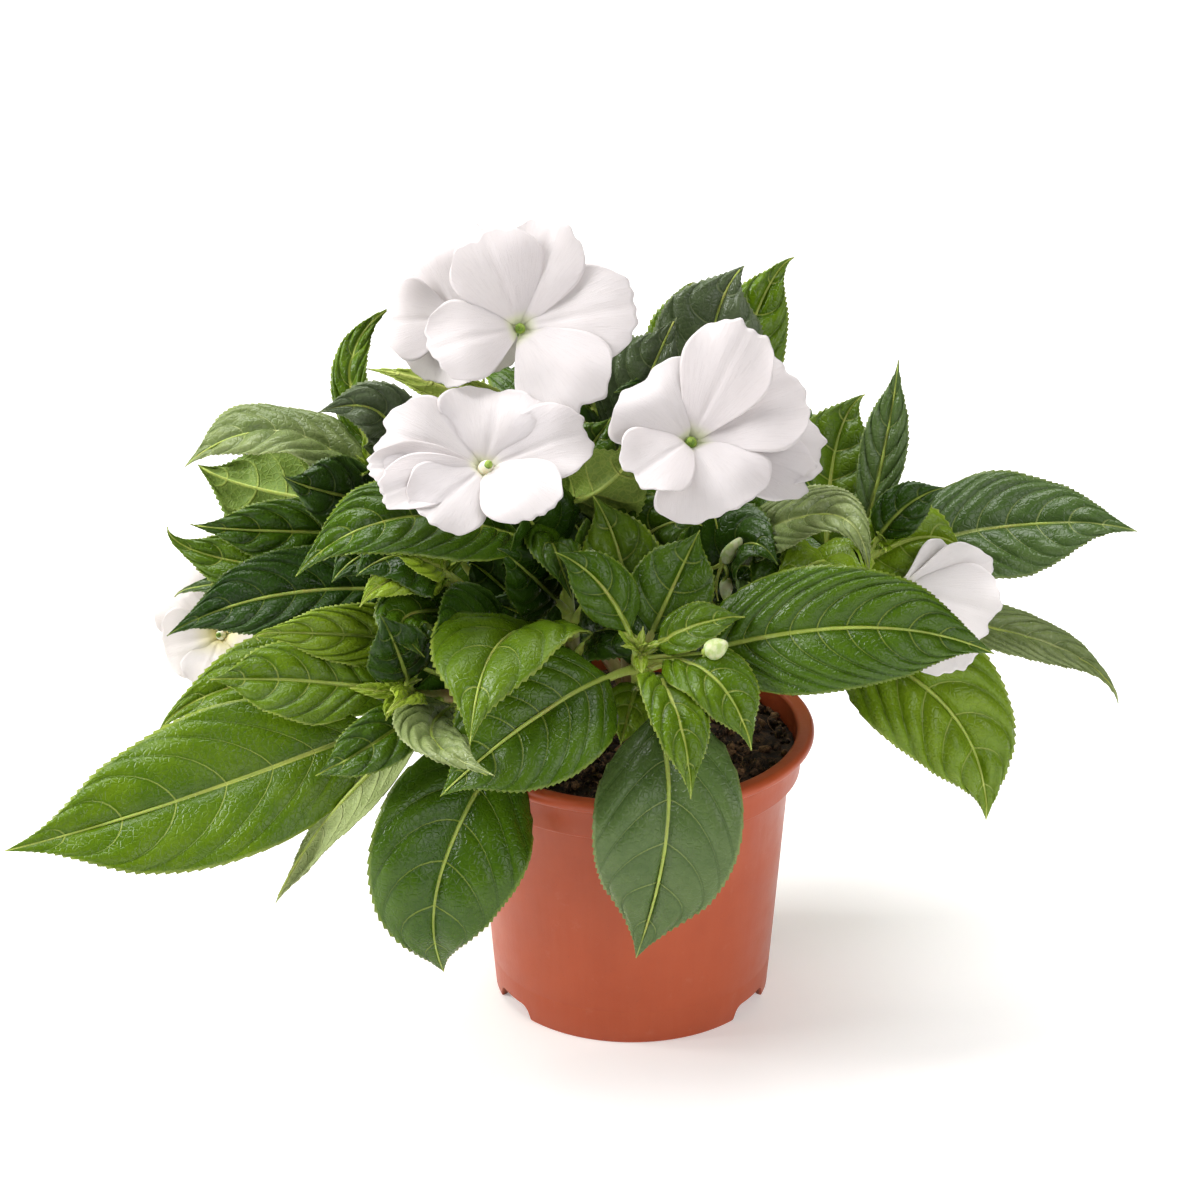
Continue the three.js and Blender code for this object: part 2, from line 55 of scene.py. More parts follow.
LIP_DEPTH = 0.004
WALL = 0.0016
BASE_DISC_RADIUS = 0.027
BASE_DISC_DRAFT = 0.0015
FOOT_RING_WIDTH = 0.0022
FLOOR_FILLET = 0.0025
CHANNEL_HEIGHT = 0.005
DRAIN_HOLES = 6
DRAIN_RADIUS = 0.0032
DRAIN_RING_RADIUS = 0.034
FOOT_NOTCHES = 3
NOTCH_WIDTH = 0.021
NOTCH_HEIGHT = 0.005
NOTCH_SLANT = 0.0025
NOTCH_TURN = -30
NOTCH_ROUNDING = 0.0022
NOTCH_START = 0.006
NOTCH_REACH = 0.014
CUT_MARGIN = 0.001
DRAIN_SIDES = 32
DRAIN_CUT_DEPTH = 0.012
GATE_LINE_HEIGHT = 0.012
GATE_LINE_HALF = 0.0004
GATE_LINE_DEPTH = 0.00006
FOOT_INNER_FILLET = 0.0006
FOOT_OUTER_FILLET = 0.0008
SHOULDER_FILLET = 0.0010
COLLAR_FILLET = 0.0009
LIP_FILLET = 0.0008
LIP_INNER_RADIUS = 0.0014
TINY_STEP = 0.0001
WALL_MIDDLE = 0.045
POT_STEPS = 128
SHARP_ANGLE = 38

# Driving dimensions of the peat and of what lies on it
SOIL_TOP = 0.088
SOIL_CROWN = 0.0015
SOIL_SINK = 0.0012
SOIL_EDGE_GAP = 0.0005
SOIL_RINGS = 34
SOIL_STEPS = 112
SOIL_REACH = 0.0525
LUMP_SCALE, LUMP_HEIGHT = 95, 0.0016
CLOD_SCALE, CLOD_HEIGHT = 210, 0.0030
CRUMB_JITTER = 0.11
FIBRE_REACH = 0.050
FIBRE_LENGTHS = (0.004, 0.013)
FIBRE_RISES = (0.0004, 0.0022)
FIBRE_RADII = (0.00010, 0.00026)
FIBRE_END_LIFT = 0.0012

# Driving dimensions of stems, leaf stalks and flower stalks
CLEARANCE = 0.0003
STEM_TAPER = 0.6
STEM_RISE = 0.016
PETIOLE_RADIUS = 0.0013
PETIOLE_SHARE = 0.16
STALK_RADIUS = 0.0011
STALK_LEAD = 0.018
STALK_PULL = 0.2
STALK_SUNK = 0.002
FLOWER_CUP_RADIUS = 0.0032

# Driving dimensions of a leaf blade
BLADE_THICKNESS = 0.0003
BLADE_FOLD = 0.35
BLADE_DROOP = 0.9
BLADE_BASE_HALF_WIDTH = 0.0009
BLADE_TIP_HALF_WIDTH = 0.0001
BLADE_RIPPLE = 0.05
BLADE_RIPPLE_GAIN = 1.6
BLADE_RIPPLE_TURNS = (1.4, 2.4)
BLADE_CRUMPLE = 0.0016
BLADE_CRUMPLE_SCALE = 38
CRUMPLED_LENGTH = 0.06
RIB_GROOVE_DEPTH = 0.0005
RIB_GROOVE_HALF_WIDTH = 0.0011
VEIN_SPACING = 0.0088
TIP_HOLLOW = 0.55
ROWS_PER_VEIN = 8
YOUNG_ROWS_PER_VEIN = 4
TOOTH_ROWS = 2
TOOTH_DEPTH = 0.00036
TOOTH_LEAN = 0.8
TOOTHED_LENGTH = 0.05
TOOTHED_HALF_WIDTH = 0.006
QUILT = 0.14
QUILT_ROUNDNESS = 0.75
CUSHION_SHARE = 0.35
FEWEST_VEINS, MOST_VEINS = 4, 12
COLUMN_PLACES = [0, 0.035, 0.09, 0.18, 0.3, 0.43, 0.56, 0.68, 0.79, 0.88, 0.95, 1]
YOUNG_COLUMN_PLACES = [0, 0.09, 0.3, 0.56, 0.79, 1]

# The camera, fitted to the pot in the photograph, and the studio's floor, air and lights
CAMERA_PLACE = (-0.0106, -1.5, 0.840)
CAMERA_PITCH = 25.03
CAMERA_LENS = 152.7
CAMERA_SENSOR = 36
FLOOR_HALF = 4.0
# The floor's glow is painted light: it brightens the floor and pales the shadows cast on it
FLOOR_GLOW = 0.25
AIR_COLOUR = (0.97, 0.98, 1.0)
AIR_STRENGTH = 0.17
LIGHTS = {
    "overhead_softbox": dict(place=(-0.2, 0.55, 1.5), target=(0, 0, 0.12), size=(1.35, 1.0), power=29),
    "left_softbox": dict(place=(-1.3, -0.14, 0.9), target=(0, 0, 0.1), size=(0.7, 0.8), power=25),
    "right_fill": dict(place=(1.0, -1.3, 0.95), target=(0, 0, 0.12), size=(1.4, 1.2), power=17),
}

# Driving dimensions of flowers, stems and crowns of young leaves
PETAL_ARCH = 0.002
PETAL_ROWS = 26
PETAL_COLUMNS = 26
PETAL_LAYER = 0.0006
PETAL_WAIST = 0.3
PETAL_THICKNESS = 0.00025
PETAL_NOTCH = 0.05
PETAL_CURL = 0.05
PETAL_WAVE = 0.09
PETAL_CRUMPLE = 0.0035
PETAL_CRUMPLE_SCALE = 60
PETAL_WAVE_GAIN = 0.4
PETAL_FURROW_DEPTH = 0.0007
PETAL_THREAD_HEIGHT = 0.00008
THROAT_DEPTH = 0.0022
THROAT_SHARE = 0.1
SPUR_DROP = 0.020
SPUR_REACH = 0.016
SPUR_SWAY = 0.006
SPUR_RADII = [0.0014, 0.0007, 0.0003]
SEPAL_LENGTH = 0.006
SEPAL_RADIUS = 0.0013
STEM_STEPS = 60
STEM_SIDES = 14
STEM_KNOT = 0.16
STEM_DEPTH = 0.004
STEM_ROUGHNESS = 0.00018
STEM_BLUSH_TOP = 0.125
STALK_STEPS = 22
GOLDEN_TURN = 2.39996
CROWN_FOLD = 0.7
CROWN_STALK = 0.06
CROWN_LEAF_WIDTH = 0.36

# Ranges for random turns and for random places in the noise
ANY_TURN = (0, 6.28)
ANY_PATCH = (0, 50)

# Where each of the four plants leaves the peat
FRONT_PLANT = (0.002, -0.014)
LEFT_PLANT = (-0.018, 0.004)
RIGHT_PLANT = (0.02, 0)
BACK_PLANT = (0, 0.02)

# Branches: the plant, where the branch bends, where its crown of leaves is and how thick it is at its foot
BRANCHES = {
    "front": dict(root=FRONT_PLANT, bend=(0.002, -0.03, 0.126), tip=(0.002, -0.048, 0.143), radius=0.0036),
    "left_front": dict(root=FRONT_PLANT, bend=(-0.036, -0.024, 0.116), tip=(-0.074, -0.036, 0.123),
        radius=0.0028),
    "left": dict(root=LEFT_PLANT, bend=(-0.036, -0.002, 0.128), tip=(-0.06, -0.008, 0.152), radius=0.0032),
    "left_back": dict(root=LEFT_PLANT, bend=(-0.044, 0.014, 0.136), tip=(-0.084, 0.02, 0.175), radius=0.003),
    "centre": dict(root=LEFT_PLANT, bend=(-0.02, 0.004, 0.14), tip=(-0.028, 0.004, 0.178), radius=0.003),
    "right": dict(root=RIGHT_PLANT, bend=(0.044, 0, 0.132), tip=(0.08, -0.004, 0.16), radius=0.0032),
    "right_back": dict(root=RIGHT_PLANT, bend=(0.022, 0.014, 0.136), tip=(0.024, 0.034, 0.186), radius=0.003),
    "top": dict(root=BACK_PLANT, bend=(-0.004, 0.028, 0.142), tip=(-0.012, 0.044, 0.19), radius=0.0034),
    "back": dict(root=BACK_PLANT, bend=(0.014, 0.052, 0.118), tip=(0.034, 0.078, 0.138), radius=0.003),
    "back_left": dict(root=BACK_PLANT, bend=(-0.026, 0.05, 0.116), tip=(-0.048, 0.076, 0.136), radius=0.0028),
}

STEMS = {
    "stem_front": ["front", "left_front"],
    "stem_left": ["left", "left_back", "centre"],
    "stem_right": ["right", "right_back"],
    "stem_back": ["top", "back", "back_left"],
}

# Leaves: the branch and place of attachment, the width, the tone, the points that the midrib passes
# half-way and at its tip, and the direction that the upper side looks. Some also give the number of
# side veins, how strongly the blade is quilted or folded, or the stalk's share of the length
LEAVES = {
    "front_drop": dict(branch="front", at=0.74, width=0.047, tone="slate",
        mid=(0.011, -0.078, 0.106), tip=(0.001, -0.07, 0.046), looks=(0, -1, 0.3), veins=7, quilt=0.5),
    "front_left": dict(branch="front", at=0.86, width=0.046, tone="deep",
        mid=(-0.028, -0.07, 0.134), tip=(-0.061, -0.082, 0.11), looks=(-0.1, -0.9, 0.8), veins=8, quilt=0.7),
    "front_right": dict(branch="front", at=0.82, width=0.04, tone="deep",
        mid=(0.066, -0.06, 0.158), tip=(0.114, -0.052, 0.145), looks=(0, -1, 0.5)),
    "front_inner_right": dict(branch="front", at=0.93, width=0.024, tone="mid",
        mid=(0.024, -0.066, 0.145), tip=(0.037, -0.076, 0.123), looks=(0.3, -0.7, 0.9)),
    "front_inner_mid": dict(branch="front", at=0.89, width=0.022, tone="mid",
        mid=(0.013, -0.078, 0.138), tip=(0.018, -0.092, 0.114), looks=(0.5, -0.7, 0.7)),
    "front_up_right": dict(branch="front", at=0.95, width=0.027, tone="deep",
        mid=(0.014, -0.037, 0.165), tip=(0.021, -0.03, 0.178), looks=(0, -1, 0.5)),
    "front_up_left": dict(branch="front", at=0.98, width=0.019, tone="deep",
        mid=(-0.01, -0.042, 0.164), tip=(-0.025, -0.038, 0.174), looks=(0.1, -1, 0.6)),
    "front_up_back": dict(branch="front", at=0.78, width=0.028, tone="mid",
        mid=(-0.004, -0.022, 0.164), tip=(-0.013, -0.014, 0.183), looks=(0, -1, 0.6)),
    "over_front": dict(branch="centre", at=0.5, width=0.048, tone="mid",
        mid=(-0.042, -0.055, 0.151), tip=(-0.051, -0.088, 0.131), looks=(-0.3, -0.7, 0.9),
        veins=6, quilt=0.6),
    "left_curl": dict(branch="left_front", at=0.82, width=0.025, tone="pale",
        mid=(-0.063, -0.079, 0.130), tip=(-0.043, -0.104, 0.128), looks=(0.3, -0.5, 1), quilt=1.1),
    "left_big": dict(branch="left_front", at=0.88, width=0.05, tone="mid",
        mid=(-0.138, -0.048, 0.094), tip=(-0.201, -0.06, 0.079), looks=(-0.1, -0.9, 0.6),
        veins=8, quilt=0.35),
    "left_behind": dict(branch="left", at=0.5, width=0.036, tone="mid",
        mid=(-0.118, 0.006, 0.109), tip=(-0.156, 0.000, 0.091), looks=(0, -0.8, 0.8), veins=7, quilt=0.5),
    "left_bright": dict(branch="left_front", at=0.97, width=0.029, tone="mid",
        mid=(-0.106, -0.036, 0.128), tip=(-0.135, -0.042, 0.131), looks=(0, -0.8, 0.8)),
    "left_droop": dict(branch="left_front", at=0.84, width=0.025, tone="pale",
        mid=(-0.092, -0.05, 0.092), tip=(-0.115, -0.054, 0.057), looks=(0.8, 0.3, -0.8)),
    "left_drop": dict(branch="left_front", at=0.62, width=0.05, tone="deep",
        mid=(-0.06, -0.069, 0.08), tip=(-0.061, -0.062, 0.036), looks=(0, -1, 0.3), veins=7, quilt=0.5),
    "left_dark": dict(branch="left", at=0.9, width=0.031, tone="dark",
        mid=(-0.11, -0.01, 0.147), tip=(-0.15, -0.02, 0.136), looks=(0, -0.9, 0.9)),
    "back_light": dict(branch="left_back", at=0.7, width=0.032, tone="mid",
        mid=(-0.128, 0.024, 0.142), tip=(-0.153, 0.028, 0.153), looks=(0, -0.9, 0.7)),
    "back_dark": dict(branch="left_back", at=0.84, width=0.023, tone="deep",
        mid=(-0.122, 0.010, 0.160), tip=(-0.143, 0.006, 0.164), looks=(0, -0.9, 0.7)),
    "back_under": dict(branch="left_back", at=0.9, width=0.042, tone="deep",
        mid=(-0.120, 0.030, 0.165), tip=(-0.143, 0.036, 0.172), looks=(0, 0.9, -0.7)),
    "back_top": dict(branch="left_back", at=0.96, width=0.034, tone="pale",
        mid=(-0.114, 0.014, 0.193), tip=(-0.144, -0.002, 0.188), looks=(0, -0.2, 1), stalk=0.04),
    "back_inner": dict(branch="left_back", at=0.92, width=0.026, tone="dark",
        mid=(-0.099, -0.004, 0.18), tip=(-0.112, -0.01, 0.188), looks=(0.4, -1, 0.6)),
    "back_upright": dict(branch="left_back", at=0.99, width=0.014, tone="mid",
        mid=(-0.092, 0.038, 0.205), tip=(-0.078, 0.046, 0.224), looks=(-0.5, -1, 0.2), stalk=0.02),
    "back_high": dict(branch="left_back", at=0.94, width=0.022, tone="grey",
        mid=(-0.08, 0.008, 0.201), tip=(-0.101, 0.004, 0.204), looks=(0, -0.9, 0.8)),
    "left_inner": dict(branch="left", at=0.8, width=0.024, tone="deep",
        mid=(-0.072, -0.034, 0.15), tip=(-0.066, -0.05, 0.143), looks=(0.1, -0.9, 0.8)),
    "centre_low": dict(branch="centre", at=0.66, width=0.02, tone="deep",
        mid=(-0.026, -0.022, 0.17), tip=(-0.019, -0.036, 0.156), looks=(0.2, -0.8, 0.8)),
    "centre_long": dict(branch="centre", at=0.8, width=0.038, tone="deep",
        mid=(-0.072, -0.036, 0.185), tip=(-0.106, -0.05, 0.171), looks=(0, -0.5, 1)),
    "centre_under": dict(branch="centre", at=0.96, width=0.032, tone="mid",
        mid=(-0.011, -0.012, 0.184), tip=(0.002, -0.008, 0.198), looks=(0.3, 1, 0.3)),
    "top_dark_left": dict(branch="top", at=0.84, width=0.034, tone="grey",
        mid=(0.006, 0.02, 0.212), tip=(0.014, 0.02, 0.231), looks=(-0.4, -1, 0.4)),
    "top_dark": dict(branch="right_back", at=0.96, width=0.04, tone="grey",
        mid=(0.026, 0.03, 0.222), tip=(0.036, 0.034, 0.243), looks=(-0.3, -1, 0.4)),
    "top_light": dict(branch="right_back", at=0.9, width=0.028, tone="mid",
        mid=(0.040, 0.046, 0.220), tip=(0.053, 0.054, 0.238), looks=(0.2, -1, 0.5)),
    "top_behind": dict(branch="top", at=0.97, width=0.028, tone="deep",
        mid=(-0.022, 0.056, 0.216), tip=(-0.012, 0.06, 0.23), looks=(0, -1, 0.6)),
    "right_back": dict(branch="right", at=0.84, width=0.032, tone="mid",
        mid=(0.066, 0.024, 0.182), tip=(0.076, 0.036, 0.197), looks=(0, -1, 0.7)),
    "right_upright": dict(branch="right", at=0.95, width=0.016, tone="slate",
        mid=(0.082, 0.008, 0.196), tip=(0.085, 0.014, 0.218), looks=(-0.5, -1, 0.3)),
    "right_big": dict(branch="right", at=0.9, width=0.04, tone="slate",
        mid=(0.119, 0.006, 0.163), tip=(0.163, 0, 0.164), looks=(0, -0.7, 1), quilt=1.1),
    "right_near": dict(branch="right_back", at=0.66, width=0.024, tone="pale",
        mid=(0.060, -0.026, 0.182), tip=(0.074, -0.046, 0.17), looks=(-0.1, -0.7, 0.9), quilt=1.0),
    "right_low": dict(branch="right", at=0.74, width=0.024, tone="deep",
        mid=(0.05, -0.012, 0.155), tip=(0.038, -0.022, 0.148), looks=(0, -0.9, 0.8)),
    "right_drop": dict(branch="right", at=0.66, width=0.042, tone="fresh",
        mid=(0.098, -0.028, 0.118), tip=(0.115, -0.028, 0.074), looks=(0.2, -1, 0.4), veins=8, quilt=1.5),
    "right_far": dict(branch="right", at=0.78, width=0.019, tone="pale",
        mid=(0.133, 0.002, 0.124), tip=(0.16, 0.002, 0.101), looks=(0.3, -0.6, 1)),
    "rear_right": dict(branch="back", at=0.95, width=0.044, tone="deep",
        mid=(0.076, 0.092, 0.126), tip=(0.112, 0.1, 0.104), looks=(0.1, 0.6, 1)),
    "rear_drop": dict(branch="back", at=0.84, width=0.046, tone="deep",
        mid=(0.038, 0.104, 0.11), tip=(0.034, 0.106, 0.06), looks=(0.1, 1, 0.3)),
    "rear_up": dict(branch="back", at=0.9, width=0.03, tone="deep",
        mid=(0.052, 0.098, 0.152), tip=(0.062, 0.118, 0.158), looks=(0, 0.7, 0.9)),
    "rear_side": dict(branch="back", at=0.76, width=0.038, tone="deep",
        mid=(0.068, 0.062, 0.136), tip=(0.104, 0.06, 0.13), looks=(0.1, 0.1, 1)),
    "rear_middle": dict(branch="back_left", at=0.8, width=0.042, tone="deep",
        mid=(-0.016, 0.104, 0.13), tip=(-0.006, 0.134, 0.108), looks=(0, 0.6, 1)),
    "rear_left": dict(branch="back_left", at=0.92, width=0.046, tone="deep",
        mid=(-0.084, 0.092, 0.13), tip=(-0.116, 0.1, 0.102), looks=(-0.2, 0.6, 1)),
    "rear_left_drop": dict(branch="back_left", at=0.86, width=0.044, tone="deep",
        mid=(-0.058, 0.104, 0.104), tip=(-0.062, 0.106, 0.056), looks=(0, 1, 0.3)),
    "rear_left_up": dict(branch="back_left", at=0.97, width=0.03, tone="deep",
        mid=(-0.06, 0.092, 0.156), tip=(-0.07, 0.108, 0.162), looks=(0, 0.7, 1)),
    "rear_top": dict(branch="top", at=0.8, width=0.04, tone="deep",
        mid=(-0.034, 0.08, 0.182), tip=(-0.044, 0.106, 0.172), looks=(0, 0.5, 1)),
}

# Flowers: the eye, the way it looks, the branch and place its stalk leaves, the size of its heart, and
# each petal's reach from the eye (across, up, towards the viewer) with its width. Some also name a skin
# other than white, or have a heart that leans or is green all over
FLOWERS = {
    "top": dict(eye=(-0.036, 0.002, 0.234), looks=(0, -0.8, 0.6), branch="top", at=0.9,
        heart=0.0022, green=True, petals=[
            (0.011, 0.035, 0.004, 0.030), (-0.012, 0.031, 0.006, 0.033), (0.038, 0.007, 0.004, 0.034),
            (-0.029, -0.008, 0.012, 0.030, dict(wave=0.12)), (0.023, -0.026, 0.012, 0.036)]),
    "top_behind": dict(eye=(-0.056, 0.028, 0.226), looks=(-0.3, -0.7, 0.6), branch="left_back", at=0.82,
        heart=0.002, petals=[
            (0.007, 0.034, -0.012, 0.026), (-0.015, 0.025, -0.008, 0.028), (0.020, -0.010, -0.002, 0.024),
            (-0.008, -0.021, 0.002, 0.030), (-0.024, -0.001, -0.002, 0.030, dict(wave=0.12))]),
    "left": dict(eye=(-0.047, -0.034, 0.201), looks=(0.1, -0.7, 0.7), branch="centre", at=0.93,
        heart=0.0032, heart_lean=(0.2, 0, 0), petals=[
            (0.006, 0.028, -0.004, 0.040), (-0.033, 0.013, 0.004, 0.034), (0.034, 0.013, -0.002, 0.028),
            (-0.037, -0.001, 0.008, 0.018, dict(wave=0.12, cup=0.2)),
            (-0.033, -0.009, 0.012, 0.020, dict(wave=0.12, cup=0.2)),
            (-0.019, -0.017, 0.015, 0.030, dict(wave=0.12)), (0.020, -0.016, 0.016, 0.030)]),
    "right": dict(eye=(0.018, -0.024, 0.206), looks=(0, -0.7, 0.7), branch="right_back", at=0.9,
        heart=0.0026, heart_lean=(0, -0.2, 0), green=True, petals=[
            (0.045, -0.001, -0.008, 0.030), (0.040, -0.011, -0.004, 0.028, dict(wave=0.12)),
            (-0.016, 0.021, 0.004, 0.044), (0.035, 0.020, -0.002, 0.040),
            (0.019, 0.037, 0.004, 0.032), (0.011, -0.024, 0.010, 0.042),
            (-0.019, -0.014, 0.016, 0.028, dict(wave=0.14))]),
    # The side flower stands in shade, and its bright skin is painted light
    "side": dict(eye=(0.086, -0.018, 0.152), looks=(0.9, -0.3, 0.1), branch="right", at=0.8,
        heart=0.0022, skin="bright", petals=[
            (0.024, -0.010, -0.010, 0.026, dict(face=(0, 0.1, 1))),
            (0.020, 0.010, -0.006, 0.024, dict(face=(0, -0.4, 1))),
            (0.031, 0.004, -0.004, 0.028, dict(face=(0.1, -0.3, 1))),
            (0.019, -0.027, 0.002, 0.028, dict(face=(0.2, 0.3, 1))),
            (0.031, -0.009, 0.006, 0.030, dict(face=(0.2, 0.2, 1)))]),
    "far_left": dict(eye=(-0.138, 0.044, 0.106), looks=(-0.3, -0.8, 0.4), branch="left_back", at=0.45,
        heart=0.0022, skin="faded", petals=[
            (-0.020, 0.018, -0.004, 0.028), (-0.021, -0.004, 0, 0.026), (-0.004, -0.018, 0.004, 0.024),
            (0.014, -0.014, 0.004, 0.024), (0.008, 0.020, -0.006, 0.024)]),
    "back": dict(eye=(0.022, 0.104, 0.158), looks=(0.1, 0.8, 0.6), branch="back", at=0.7,
        heart=0.0024, petals=[
            (-0.020, 0.016, -0.014, 0.028), (0.002, 0.022, -0.008, 0.028), (0.026, 0.006, -0.012, 0.030),
            (0.014, -0.016, -0.022, 0.028), (-0.014, -0.014, -0.024, 0.028)]),
}

